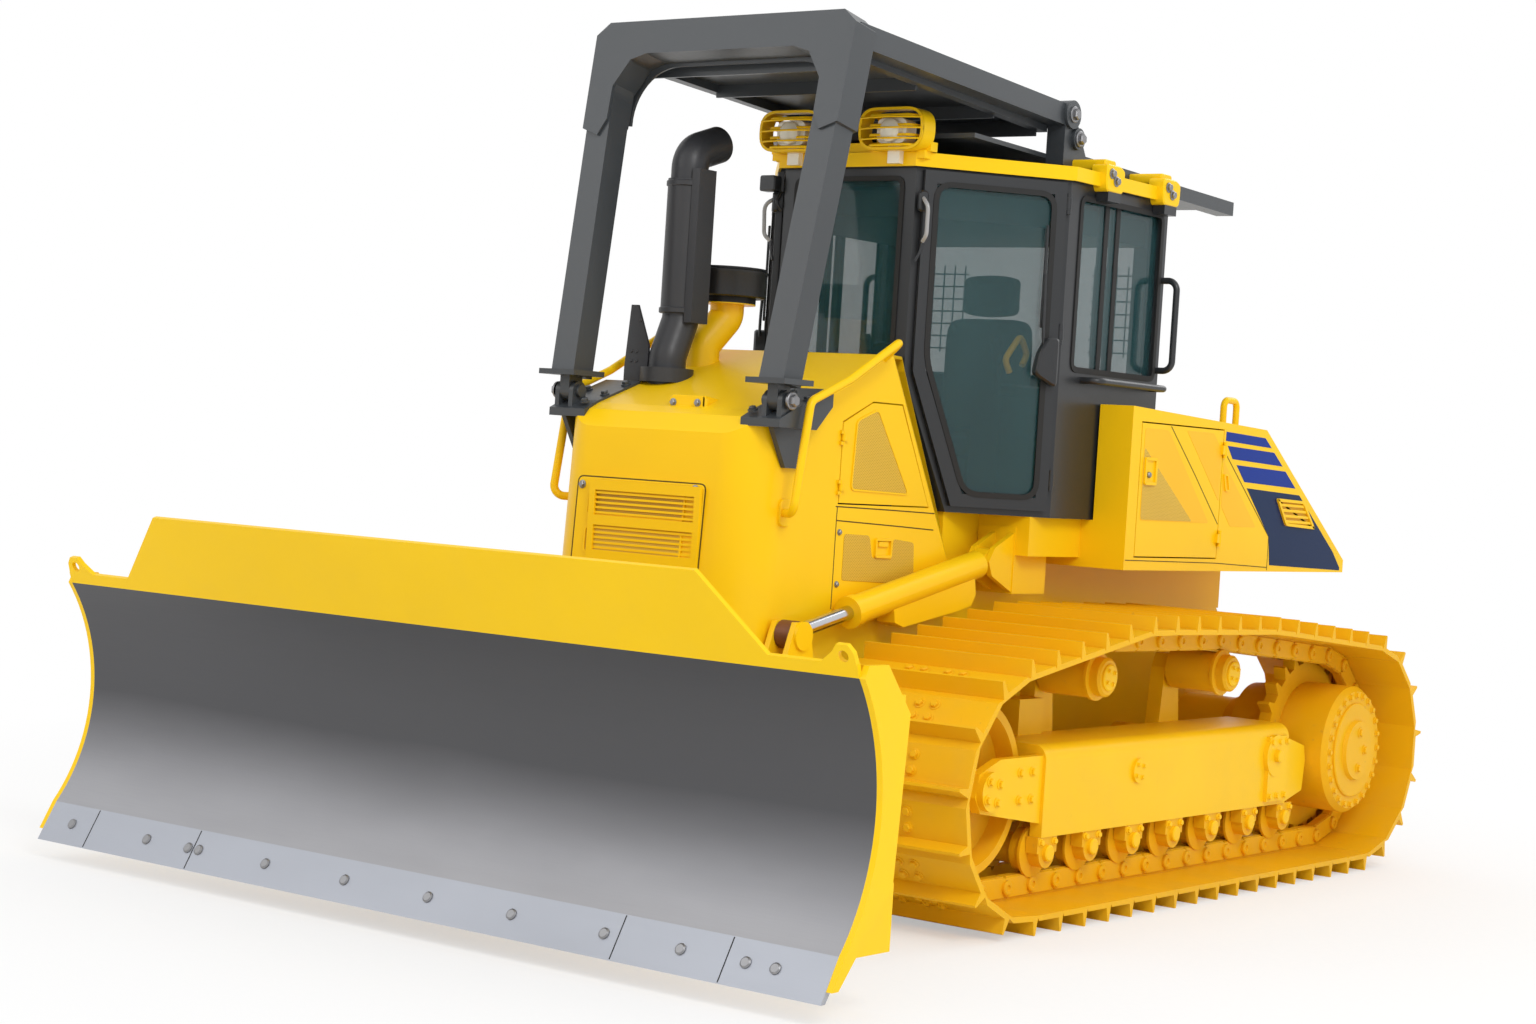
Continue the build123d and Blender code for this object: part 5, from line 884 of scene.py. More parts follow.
class Belt:
    """The track chain's closed line: straight runs and arcs round the four wheels, cut in equal pitches."""

    WHEELS = np.array([(-1370.0, 540, 411), (1725, 565, 436), (641, 955, 137), (-477, 968, 137)]) * MM
    PITCH = 0.19
    ARC_STEPS = 160
    RUN_STEPS = 40

    def __init__(self) -> None:
        """Work out the pins: tangent points of each pair of circles, then equal steps along the whole line.
        
        """
        here = self.WHEELS
        there = np.roll(here, -1, axis=0)
        delta = there[:, :2] - here[:, :2]
        span = np.linalg.norm(delta, axis=1)
        lean = (here[:, 2] - there[:, 2]) / span
        side = np.sqrt(1 - lean**2)
        way = delta / span[:, None]
        square = np.stack([way[:, 1], -way[:, 0]], axis=1)
        normal = way * lean[:, None] + square * side[:, None]
        leave = here[:, :2] + normal * here[:, 2:]
        reach = there[:, :2] + normal * there[:, 2:]
        line = []
        for k in range(len(here)):
            start = math.atan2(*normal[k - 1][::-1])
            turn = (math.atan2(*normal[k][::-1]) - start) % (2 * math.pi)
            a = start + np.linspace(0, turn, self.ARC_STEPS)
            line.append(here[k, :2] + here[k, 2] * np.stack([np.cos(a), np.sin(a)], axis=1))
            line.append(np.linspace(leave[k], reach[k], self.RUN_STEPS)[1:-1])
        path = np.concatenate(line)
        path = np.concatenate([path, path[:1]])
        travel = np.concatenate([[0], np.cumsum(np.linalg.norm(np.diff(path, axis=0), axis=1))])
        self.count = int(round(travel[-1] / self.PITCH))
        steps = np.arange(self.count) * travel[-1] / self.count
        self.pins = np.stack([np.interp(steps, travel, path[:, i]) for i in (0, 1)], axis=1)
        self.step = np.roll(self.pins, -1, axis=0) - self.pins
        ahead = unit(self.step)
        self.up = np.stack([ahead[:, 1], -ahead[:, 0]], axis=1)
        self.ahead = self.three(ahead)
        self.out = self.three(self.up)

    def on(self, x: float, share: float, out: float) -> Array:
        """A point on every link: at a share of its pitch, so far outwards, at a place x across."""
        return self.three(self.pins + self.step * share + self.up * out) + np.array([x, 0.0, 0.0])

    def three(self, flat: Array) -> Array:
        """Directions in the track's own plane as vectors."""
        return np.concatenate([np.zeros((len(flat), 1)), flat], axis=1)


@dataclass(frozen=True)
class Undercarriage:
    """Chains, shoe bolts, hub bolts and small forms of the two crawler tracks."""

    centre: float = 1.07
    rail: float = 0.088
    rail_out: float = 0.02
    shoe_bolt_x: tuple[float, ...] = (-0.125, -0.055, 0.055, 0.125)
    shoe_bolt_share: tuple[float, ...] = (0.26, 0.6)
    shoe_face: float = 0.071
    hub: tuple[float, float, float] = (1.36, 1.725, 0.565)
    hub_bolts: int = 24
    hub_radius: float = 0.262
    carriers: tuple[tuple[float, float], ...] = ((-0.477, 0.96), (0.641, 0.947))
    rollers: int = 7
    first_roller: float = -0.9
    roller_step: float = 0.356
    roller_z: float = 0.2643

    def build(self) -> None:
        """Make the pieces of both sides."""
        belt = Belt()
        self.chain(belt)
        self.shoe_bolts(belt)
        self.hubs()
        self.frames()

    def chain(self, belt: Belt) -> None:
        """Overlapping link plates on the rails' faces, with a pin boss at each end."""
        link = plate(
            Face((0, 0, 0), LEFT, UP), rounded(box_outline(0.21, 0.084), 0.035, 3), -0.002, 0.009, 0.003
        )
        boss = turned([(-0.002, 0.031), (0.014, 0.031), (0.018, 0.026), (0.018, 0.014), (0.012, 0.012)], 12)
        shape = Shape()
        for way in (1.0, -1.0):
            x = self.centre + way * (self.rail + self.rail_out)
            shape.stamp(link, belt.on(x, 0.5, 0.0), belt.ahead, (way, 0, 0))
            shape.stamp(boss, belt.on(x + way * 0.006, 0.0, 0.0), belt.ahead, (way, 0, 0))
        both("chain_links", shape, TRACK)

    def shoe_bolts(self, belt: Belt) -> None:
        """Four bolts on the flat of every shoe, in two pairs over the rails."""
        shape = Shape()
        head = bolt(0.034, 0.016)
        for x in self.shoe_bolt_x:
            for share in self.shoe_bolt_share:
                shape.stamp(head, belt.on(self.centre + x, share, self.shoe_face), LEFT, belt.out)
        both("shoe_bolts", shape, TRACK)

    def hubs(self) -> None:
        """A ring of bolts on each final drive, with its plugs and the cover's step."""
        centre = np.array(self.hub)
        ring = circle(self.hub_bolts)
        shape = Shape().stamp(bolt(0.026, 0.014), centre + ring * self.hub_radius, UP, LEFT)
        shape.stamp(cap(0.225, 0.008, (0.004, 0.006), 48), centre, UP, LEFT)
        plugs = np.array([[0.03, 0.0, 0.085], [0.03, 0.0, -0.085], [0.03, 0.06, 0.0]])
        shape.stamp(bolt(0.036, 0.016), centre + plugs, UP, LEFT)
        both("hub_bolts", shape, TRACK)

    def frames(self) -> None:
        """Bolts and end caps of the track frames, the carrier rollers and the track rollers."""
        small, middling, large = bolt(0.016, 0.01), bolt(0.026, 0.014), bolt(0.03, 0.016)
        ring = circle(4, 0.6)
        lid = np.array([[1.28, 1.02 + 0.075 * i, z] for i in range(3) for z in (0.375, 0.625)])
        shape = Shape().stamp(middling, lid, UP, LEFT)
        shape.stamp(small, np.array([1.274, -0.2, 0.56]) + ring * 0.034, UP, LEFT)
        shape.stamp(large, np.array([1.278, -1.37, 0.54]) + ring * 0.052, UP, LEFT)
        yoke = np.array([[1.248, y, z] for y in (-1.13, -1.04) for z in (0.6, 0.49)])
        shape.stamp(large, yoke, UP, LEFT)
        shape.stamp(cap(0.03, 0.02, (0.004, 0.006), 14), [1.284, 1.07, 0.56], UP, LEFT)
        for y, z in self.carriers:
            centre = np.array([1.25, y, z])
            shape.stamp(cap(0.056, 0.006, (0.004, 0.006), 24), centre, UP, LEFT)
            shape.stamp(small, centre + ring * 0.034 + [0.01, 0, 0], UP, LEFT)
        places = [
            [1.256, self.first_roller + self.roller_step * k, self.roller_z] for k in range(self.rollers)
        ]
        places = np.array(places)
        shape.stamp(cap(0.034, 0.014, (0.004, 0.006), 14), places, UP, LEFT)
        for y in (0.052, -0.052):
            shape.stamp(middling, places + [0, y, 0.045], UP, LEFT)
        both("frame_bolts", shape, FRAME)


@dataclass(frozen=True)
class Blade:
    """Bolts and seams of the cutting edge, on its front face, measured from its lower corner."""

    face: Face = Face((0, -3.379, 0.074), LEFT, (0, -0.146, 0.083))
    bolt_x: tuple[float, ...] = (-1.78, -1.33, -1.09, -1.03, -0.66, -0.24, 0.18, 0.58, 1.0, 1.33, 1.6, 1.72)
    bolt_v: float = 0.088
    seam_x: tuple[float, ...] = (-1.66, -1.062, 1.062, 1.52)

    def build(self) -> None:
        """Make the bolts and seams."""
        flat = np.array([[x, self.bolt_v] for x in self.bolt_x])
        shape = Shape().stamp(round_head(0.021, 0.008), self.face.at(flat), LEFT, self.face.out)
        make("edge_bolts", shape, BOLT, "blade")
        seams = Shape()
        for x in self.seam_x:
            seams.join(plate(self.face, box_outline(0.004, 0.16) + [x, 0.085], SUNK, 0.0012, 0.0004))
        make("edge_seams", seams, RUBBER, "blade")


@dataclass(frozen=True)
class Hood:
    """Front panel, side screens, latches, seams, rail feet and exhaust bands of the hood."""

    side: Face = left_side(0.52)
    front: Face = Face((0, -2.065, 1.0), LEFT, (0, -0.865, 0.045))
    grille_fields: tuple[tuple[float, float], ...] = ((357, 463), (507, 612))
    stack: tuple[float, float] = (-0.33, -1.49)

    def build(self) -> None:
        """Make the panels and small fittings."""
        self.front_panel()
        self.doors()
        self.side_panels()
        self.top()

    def front_panel(self) -> None:
        """The grille's cover: a plate with a rim, two sunk screen fields and two bolts."""
        cover = pane(0.66, 0.46, (-0.04, 0.435), 0.03)
        seam = ring_plate(self.front, cover, 0.005, SUNK, 0.002)
        rim, screens = plate(self.front, drawn_in(cover, 0.006), -0.004, 0.005, 0.003), Shape()
        for low, high in self.grille_fields:
            outline = rounded(mm((-305, low), (198, low), (198, high), (-305, high)), 0.018)
            rim.join(ring_plate(self.front, outline, 0.008, 0.003, 0.011))
            screens.join(plate(self.front, drawn_in(outline, 0.006), 0.003, 0.0065, 0.001))
        spots = self.front.at(mm((-340, 628), (240, 640)), 0.005)
        make("grille_cover", rim, BODY)
        make("grille_screens", screens, SCREEN)
        make("grille_seam", seam, SEAM)
        bolts = Shape().stamp(bolt(0.026, 0.014), spots, LEFT, self.front.out)
        make("grille_bolts", bolts, BOLT)

    def doors(self) -> None:
        """The screen and its lip on each engine door."""
        field = rounded(mm((-1381, 1677), (-976, 1668), (-1228, 2000), (-1366, 1950)), 0.02)
        both("engine_screen", plate(self.side, field, SUNK, 0.003, 0.001), SCREEN, ENGINE_DOORS)
        lip = ring_plate(self.side, drawn_in(field, -0.007), 0.007, SUNK, 0.005)
        both("engine_lip", lip, BODY, ENGINE_DOORS)

    def side_panels(self) -> None:
        """The fixed panels' screens, latches, seams, bolts and rail feet."""
        field = mm(
            (-1410, 1306), (-890, 1290), (-905, 1465), (-1055, 1478),
            (-1062, 1392), (-1205, 1398), (-1232, 1490), (-1410, 1494),
        )
        both("lower_screen", plate(self.side, rounded(field, 0.016), SUNK, 0.003, 0.001), SCREEN)
        latch = ring_plate(self.side, pane(0.12, 0.08, (-1.134, 1.44), 0.012), 0.01, SUNK, 0.012)
        latch.join(plate(self.side, pane(0.07, 0.022, (-1.134, 1.455), 0.008), SUNK, 0.009))
        both("lower_latch", latch, BODY)
        paths = (
            mm((-1470, 1190), (-1470, 1560), (-1468, 1600)),
            mm((-1470, 1547), (-1000, 1530), (-760, 1520)),
            mm((-1480, 1603), (-1100, 1597), (-760, 1590)),
        )
        seams = Shape()
        for path in paths:
            seams.join(strip(self.side, path, SEAM_WIDTH))
        both("hood_seams", seams, SEAM)
        loop = mm((-400, 2215), (-443, 2266), (-328, 2377), (-262, 2300), (-300, 2250))
        both("hood_loop", tube(left_side(0.62).at(loop), 0.014, 0.03), BODY)
        spots = self.side.at(mm((-1445, 1500), (-1443, 1290)))
        both("lower_bolts", Shape().stamp(bolt(0.02, 0.01), spots, BACK, LEFT), BOLT)
        foot = plate(self.side, pane(0.07, 0.11, (-1.83, 1.57), 0.03, 3), SUNK, 0.012, 0.003)
        both("rail_feet", foot, BODY)

    def top(self) -> None:
        """The lug plate on the hood's brow, the clamps of the exhaust and the pre-cleaner's sleeve."""
        brow = Face((0.052, -1.885, 1.955), LEFT, FRONT)
        lug = rounded(mm((-96, -30), (96, -30), (96, 40), (80, 55), (-80, 55), (-96, 40)), 0.012)
        gusset = Face((0.14, -1.885, 1.955), BACK, LEFT)
        lug = plate(brow, lug, -0.012, 0.0)
        lug.join(plate(gusset, mm((0, -20), (150, 40), (0, 55)), -0.01, 0.0))
        make("brow_lug", lug, BODY)
        bolts = Shape().stamp(bolt(0.024, 0.012), brow.at(mm((-73, 24), (51, 26))), LEFT, FRONT)
        make("brow_bolts", bolts, BOLT)
        clamp = turned([(-0.012, 0.09), (-0.009, 0.094), (0.009, 0.094), (0.012, 0.09)], 40)
        bands = Shape().stamp(clamp, [(*self.stack, z) for z in (2.37, 2.9)], LEFT, UP)
        shield = Face((-0.39, -1.617, 0), LEFT, FRONT)
        spots = shield.at(mm((-90, 2150), (-62, 2150), (-90, 2190), (-62, 2190), (-50, 2320)))
        bands.stamp(round_head(0.007, 0.004), spots, LEFT, FRONT)
        make("stack_bands", bands, PIPE)
        sleeve = [
            (-0.05, 0.155), (-0.045, 0.162), (0.045, 0.162), (0.052, 0.166), (0.062, 0.166), (0.068, 0.158)
        ]
        ring = Shape().stamp(turned(sleeve, 64), [-0.29, -1.23, 2.5], LEFT, UP)
        make("cleaner_sleeve", ring, DRUM)


@dataclass(frozen=True)
class Sweeps:
    """The canopy between the sweep rails, with its beams, ribs, arch, bolts and pins."""

    half: float = 0.56
    sheet: tuple[tuple[float, float], ...] = ((-1560, 3403), (-140, 3330), (-140, 3340), (-1560, 3413))
    beam: tuple[tuple[float, float], ...] = ((-1590, 3375), (-120, 3285), (-120, 3350), (-1590, 3440))
    ribs: tuple[tuple[float, float, float], ...] = (
        (-1.555, 3.375, 0.07), (-1.1, 3.355, 0.06), (-0.5, 3.325, 0.06), (-0.15, 3.3, 0.07),
    )
    arch_y: float = -1.625
    arch_centre: tuple[float, float] = (0.31, 3.13)
    arch_radius: float = 0.24
    pins: tuple[tuple[float, float, float], ...] = (
        (0.668, -0.08, 3.365), (0.668, -0.02, 3.265), (0.5967, -1.926, 2.005),
    )

    def build(self) -> None:
        """Make the canopy, its pins and the feet's bolts."""
        inner = self.half - 0.05
        canopy = self.across(mm(*self.sheet), -self.half, self.half)
        for ends in ((-self.half, -inner), (inner, self.half)):
            canopy.join(self.across(mm(*self.beam), *ends))
        for y, z, tall in self.ribs:
            canopy.join(
                self.across(np.array([y, z]) + box_outline(0.014, tall), -self.half + 0.04, self.half - 0.04)
            )
        make("canopy_plate", canopy.join(self.arch()), GUARD)
        pins = Shape()
        for place in self.pins:
            pins.stamp(bolt(0.05, 0.026), place, UP, LEFT)
            pins.stamp(cap(0.036, 0.006, (0.003, 0.004), 24), place, UP, LEFT)
        both("sweep_pins", pins, BOLT)
        spots = np.array(
            [[0.43, -1.95, 1.962], [0.43, -1.83, 1.998], [0.43, -1.7, 2.046], [0.565, -1.78, 2.016]]
        )
        both("foot_bolts", Shape().stamp(bolt(0.03, 0.016), spots, LEFT, (0, -0.34, 0.94)), GUARD)

    def across(self, profile: Array, *ends: float) -> Shape:
        """A bar along X of a profile in Y and Z."""
        return Shape().loft(np.stack([left_side(x).at(anticlockwise(profile)) for x in ends]))

    def arch(self) -> Shape:
        """The plate behind the hoop, cut out below between two quarter circles."""
        a = np.linspace(0.0, np.pi / 2, 13)
        bend = np.array(self.arch_centre) + self.arch_radius * np.stack([np.cos(a), np.sin(a)], axis=1)
        outer = np.array([[-0.562, 3.13], [-0.562, 3.43], [0.562, 3.43], [0.562, 3.13]])
        outline = np.concatenate([bend, (bend * [-1, 1])[::-1], outer])
        return plate(Face((0, self.arch_y, 0), LEFT, FRONT), outline, -0.006, 0.006, 0.001)


@dataclass(frozen=True)
class Lamps:
    """The two work lamps: lens, oval shell and cage bars."""

    place: tuple[float, float, float] = (0.265, -0.89, 3.195)
    half: float = 0.155
    bars: tuple[float, ...] = (-0.045, 0.0, 0.045)
    rise: float = 0.008

    def build(self) -> None:
        """Make lenses and shells."""
        lens = turned([(-0.06, 0.048), (0.0, 0.051), (0.02, 0.049), (0.034, 0.036), (0.04, 0.016)], 28)
        lenses, shells = Shape(), Shape()
        for way in (-1, 1):
            front = Face((way * self.place[0], *self.place[1:]), LEFT, FRONT)
            lenses.stamp(lens, front.origin, LEFT, FRONT)
            outline = pane(0.33, 0.18, (0, self.rise), 0.088, 8)
            shells.join(ring_plate(front, outline, 0.005, -0.085, 0.006))
            shells.join(ring_plate(front, outline, 0.012, 0.0, 0.01))
            rim = np.linspace(-self.half, self.half, 9)
            bulge = 0.012 + 0.03 * np.cos(rim / self.half * np.pi / 2)
            for z in self.bars:
                shells.join(tube(front.at(np.stack([rim, np.full(9, z + self.rise)], axis=1), bulge), 0.004))
        make("lamp_lenses", lenses, LENS)
        make("lamp_shells", shells, BODY)


@dataclass(frozen=True)
class RearBody:
    """Stripes, screens, latches and seams on both sides of the rear body."""

    side: Face = left_side(0.96)
    slats: tuple[float, ...] = (0.2, 0.4, 0.6, 0.8)

    def build(self) -> None:
        """Make the stripes and trims of both sides."""
        stripes = (
            mm((985, 1994), (1460, 1979), (1388, 2024), (985, 2037)),
            mm((1063, 1912), (1588, 1896), (1489, 1959), (1006, 1972)),
            mm((1197, 1809), (1744, 1794), (1622, 1873), (1107, 1886)),
        )
        blue = Shape()
        for outline in stripes:
            blue.join(self.film(outline))
        panel = mm(
            (1226, 1781), (1790, 1762), (2210, 1490), (2298, 1412), (2298, 1398), (1514, 1419), (1488, 1556)
        )
        both("side_stripes", blue, BLUE)
        both("side_panel", self.film(panel, 0.0014), NAVY)
        self.vents()
        self.doors()
        self.fixed()

    def film(self, outline: Array, high: float = 0.0012, bevel: float = 0.0005) -> Shape:
        """A film of paint, hardly proud of the side."""
        return plate(self.side, outline, SUNK, high, bevel)

    def vents(self) -> None:
        """A slanted louvre with slats in the dark panel: each slat's ends lie on the rim's slanted sides."""
        rim = rounded(mm((1649, 1611), (1973, 1599), (1829, 1735), (1538, 1742)), 0.02)
        # The louvre's back plate is painted shade.
        both("side_vent_back", plate(self.side, drawn_in(rim, 0.008), SUNK, 0.003, 0.001), VENT_SHADE)
        vent = ring_plate(self.side, rim, 0.014, SUNK, 0.012)
        for share in self.slats:
            z = 1.606 + 0.132 * share
            start, end = 1.649 - 0.111 * share + 0.02, 1.973 - 0.144 * share - 0.02
            slat = [(start, z - 0.007), (end, z - 0.011), (end, z + 0.003), (start, z + 0.007)]
            vent.join(plate(self.side, np.array(slat), 0.0, 0.009))
        both("side_vents", vent, BODY)

    def doors(self) -> None:
        """Each side door's matt fields, perforated corner, latch, lock and seam."""
        fields = self.film(rounded(mm((215, 1609), (865, 1609), (430, 2018), (215, 2018)), 0.02))
        fields.join(self.film(rounded(mm((950, 1710), (950, 1950), (862, 2024), (602, 2024)), 0.012)))
        both("door_field", fields, PANEL, SIDE_DOORS)
        corner = rounded(mm((219, 1613), (700, 1613), (219, 1935)), 0.02)
        both("door_screen", self.film(corner, 0.0022, 0.0006), SCREEN, SIDE_DOORS)
        latch = rounded(mm((222, 1767), (330, 1767), (330, 1890), (222, 1890)), 0.014)
        latch = ring_plate(self.side, latch, 0.014, SUNK, 0.012)
        floor = rounded(mm((232, 1777), (320, 1777), (320, 1880), (232, 1880)), 0.01)
        both("door_latch", latch.join(plate(self.side, floor, SUNK, 0.004, 0.001)), BODY, SIDE_DOORS)
        lock = Shape().stamp(round_head(0.014, 0.012), self.side.at(mm((262, 1812)), 0.004), BACK, LEFT)
        both("door_lock", lock, BOLT, SIDE_DOORS)
        both("door_seam", strip(self.side, mm((452, 2036), (700, 1830), (956, 1606)), SEAM_WIDTH), SEAM, SIDE_DOORS)

    def fixed(self) -> None:
        """The fixed panel's matt field, catch and seams."""
        field = rounded(mm((978, 1690), (1078, 1598), (1345, 1598), (978, 1900)), 0.012)
        both("side_field", self.film(field), PANEL)
        catch = rounded(mm((1000, 1760), (1045, 1760), (1018, 1840), (975, 1840)), 0.01)
        both("side_catch", ring_plate(self.side, catch, 0.008, SUNK, 0.009), BODY)
        seams = strip(self.side, mm((985, 1940), (1488, 1556), (1491, 1395)), SEAM_WIDTH)
        seams.join(strip(self.side, mm((110, 1432), (960, 1425), (1491, 1408)), 0.004))
        both("side_seams", seams, SEAM)


@dataclass(frozen=True)
class Cab:
    """Seals, door fittings, roof trim, rear guard, controls and seat of the cab."""

    door: Face = Face((0.345, -0.8, 0), (0.435, 0.55, 0), (0.55, -0.435, 0))
    rear: Face = Face((0, 0.7, 0), (-1.0, 0, 0), BACK)
    mounts: tuple[float, float] = (0.01, 0.52)
    wire: float = 0.004
    wire_step: float = 0.06

    def build(self) -> None:
        """Make the cab's fittings."""
        self.seals()
        self.door_fittings()
        self.roof_trim()
        self.ceiling()
        self.rear_guard()
        self.controls()
        Seat().build()

    def seals(self) -> None:
        """Rubber seals of the fixed panes and the side windows' middle bars."""
        seals = ring_plate(
            Face((0, -0.8, 0), LEFT, FRONT), pane(0.58, 0.785, (0, 2.6225)), 0.022, -0.002, 0.006
        )
        for way in (-1.0, 1.0):
            side = Face((way * 0.78, 0, 0), (0, way, 0), (way, 0, 0))
            seals.join(ring_plate(side, pane(0.75, 0.77, (way * 0.21, 2.62)), 0.025, -0.002, 0.005))
            for y in (0.1, 0.2):
                seals.join(plate(side, box_outline(0.035, 0.74) + [way * y, 2.62], -0.05, -0.014))
        seals.join(ring_plate(self.rear, pane(1.23, 0.78, (0, 2.615)), 0.025, -0.002, 0.005))
        make("window_seals", seals, RUBBER)

    def door_fittings(self) -> None:
        """Seal, handle and wiper of each cab door; the heights are millimetres off the door's plane."""
        door = self.door
        glass = rounded(mm((85, 2985), (85, 2240), (291, 1680), (617, 1680), (617, 2985)), 0.07, 6)
        both("door_seal", ring_plate(door, drawn_in(glass, -0.012), 0.024, 0.03, 0.038), RUBBER, CAB_DOORS)
        grip = door.at(
            mm((24, 2925), (24, 2905), (34, 2880), (36, 2760), (30, 2735)), np.array(
                [30, 70, 85, 80, 50]
            ) * MM
        )
        both("door_handle", tube(grip, 0.009, 0.02), HANDLE, CAB_DOORS)
        cup = plate(door, rounded(mm((4, 2860), (46, 2860), (46, 2950), (4, 2950)), 0.02), 0.03, 0.052, 0.006)
        cup.join(
            tube(door.at(mm((30, 2735), (24, 2690), (6, 2650)), np.array([50, 45, 36]) * MM), 0.006, 0.02)
        )
        both("handle_cup", cup, CABIN, CAB_DOORS)
        arm = door.at(mm((602, 2300), (592, 2400), (590, 2640)), np.array([60, 62, 55]) * MM)
        blade = rounded(mm((582, 2410), (598, 2410), (594, 2850), (584, 2850)), 0.006)
        wiper = tube(arm, 0.007, 0.03).join(plate(door, blade, 0.04, 0.052, 0.003))
        motor = rounded(
            mm((560, 2210), (650, 2160), (664, 2170), (664, 2370), (610, 2370), (575, 2300)), 0.02
        )
        both("door_wiper", wiper.join(plate(door, motor, 0.034, 0.085, 0.008)), CABIN, CAB_DOORS)

    def roof_trim(self) -> None:
        """The yellow beam round the roof's edge, the sweep mounts' yellow castings and their bolts."""
        trim = ring_plate(LEVEL, inset(CAB_PLAN, -0.033), 0.012, 3.052, 3.112)
        block = mm((-66, 3030), (66, 3030), (78, 3070), (78, 3135), (40, 3150), (-78, 3150), (-78, 3060))
        side = left_side(0.845)
        for y in self.mounts:
            casting = plate(side, rounded(block, 0.018) + [y, 0], -0.075, 0.004, 0.006)
            casting.join(plate(side, pane(0.1, 0.05, (y, 3.15), 0.015), -0.26, -0.03, 0.004))
            trim.join(casting).join(casting.flipped())
        bar = box_outline(0.05, 0.04) + [-0.79, 3.135]
        trim.join(Shape().loft(np.stack([left_side(x).at(bar) for x in (-0.42, 0.42)])))
        make("roof_trim", trim, BODY)
        spots = left_side(0.849).at(mm((10, 3080), (520, 3080), (-30, 3110), (480, 3110)))
        both("roof_bolts", Shape().stamp(bolt(0.034, 0.018), spots, BACK, LEFT), BOLT)

    def ceiling(self) -> None:
        """The liner under the roof, and the camera on the front pillar."""
        make("cab_liner", plate(LEVEL, inset(CAB_PLAN, 0.09), 2.85, 2.985, 0.02), DASH)
        place = Face((-0.41, -0.8, 2.985), LEFT, FRONT)
        camera = plate(place, pane(0.085, 0.07, radius=0.012), 0.0, 0.05, 0.006)
        camera.join(tube([(-0.37, -0.79, 2.95), (-0.37, -0.83, 2.9), (-0.36, -0.8, 2.87)], 0.008, 0.02))
        make("look_down_camera", camera, CABIN)

    def rear_guard(self) -> None:
        """A frame behind the rear pane, with a grid of round wires in each of its outer parts."""
        upright = turned([(0, self.wire), (0.42, self.wire)], 6)
        level = turned([(0, self.wire), (0.265, self.wire)], 6)
        grid = Shape()
        for way in (-1, 1):
            posts = [(way * x, 0.716, 2.35) for x in np.arange(0.36, 0.61, self.wire_step)]
            grid.stamp(upright, posts, LEFT, UP)
            start = 0.345 if way > 0 else -0.61
            grid.stamp(level, [(start, 0.722, z) for z in np.arange(2.37, 2.77, self.wire_step)], UP, LEFT)
        grid.join(ring_plate(self.rear, pane(1.22, 0.77, (0, 2.615), 0.03), 0.022, 0.0, 0.034))
        make("rear_guard", grid, CABIN)

    def controls(self) -> None:
        """Two control levers with grips, armrests and a small display."""
        grip = turned([(0, 0.016), (0.02, 0.024), (0.07, 0.021), (0.1, 0.028), (0.12, 0.02)], 16)
        levers = Shape()
        for x in (-0.36, 0.36):
            levers.join(tube([(x, -0.06, 2.11), (x, -0.07, 2.2), (x * 0.98, -0.085, 2.28)], 0.011, 0.03))
            levers.stamp(grip, [x * 0.98, -0.085, 2.26], LEFT, (0, -0.15, 1.0))
            levers.join(
                plate(Face((x, 0.16, 2.12), LEFT, UP), pane(0.11, 0.36, radius=0.03), 0.0, 0.06, 0.012)
            )
        screen = Face((0.12, -0.54, 2.25), LEFT, (0, 0.9, 0.3))
        levers.join(plate(screen, pane(0.2, 0.14, radius=0.015), -0.02, 0.02, 0.004))
        levers.join(tube([(0.12, -0.5, 2.1), (0.12, -0.54, 2.2)], 0.014))
        make("cab_controls", levers, DASH)


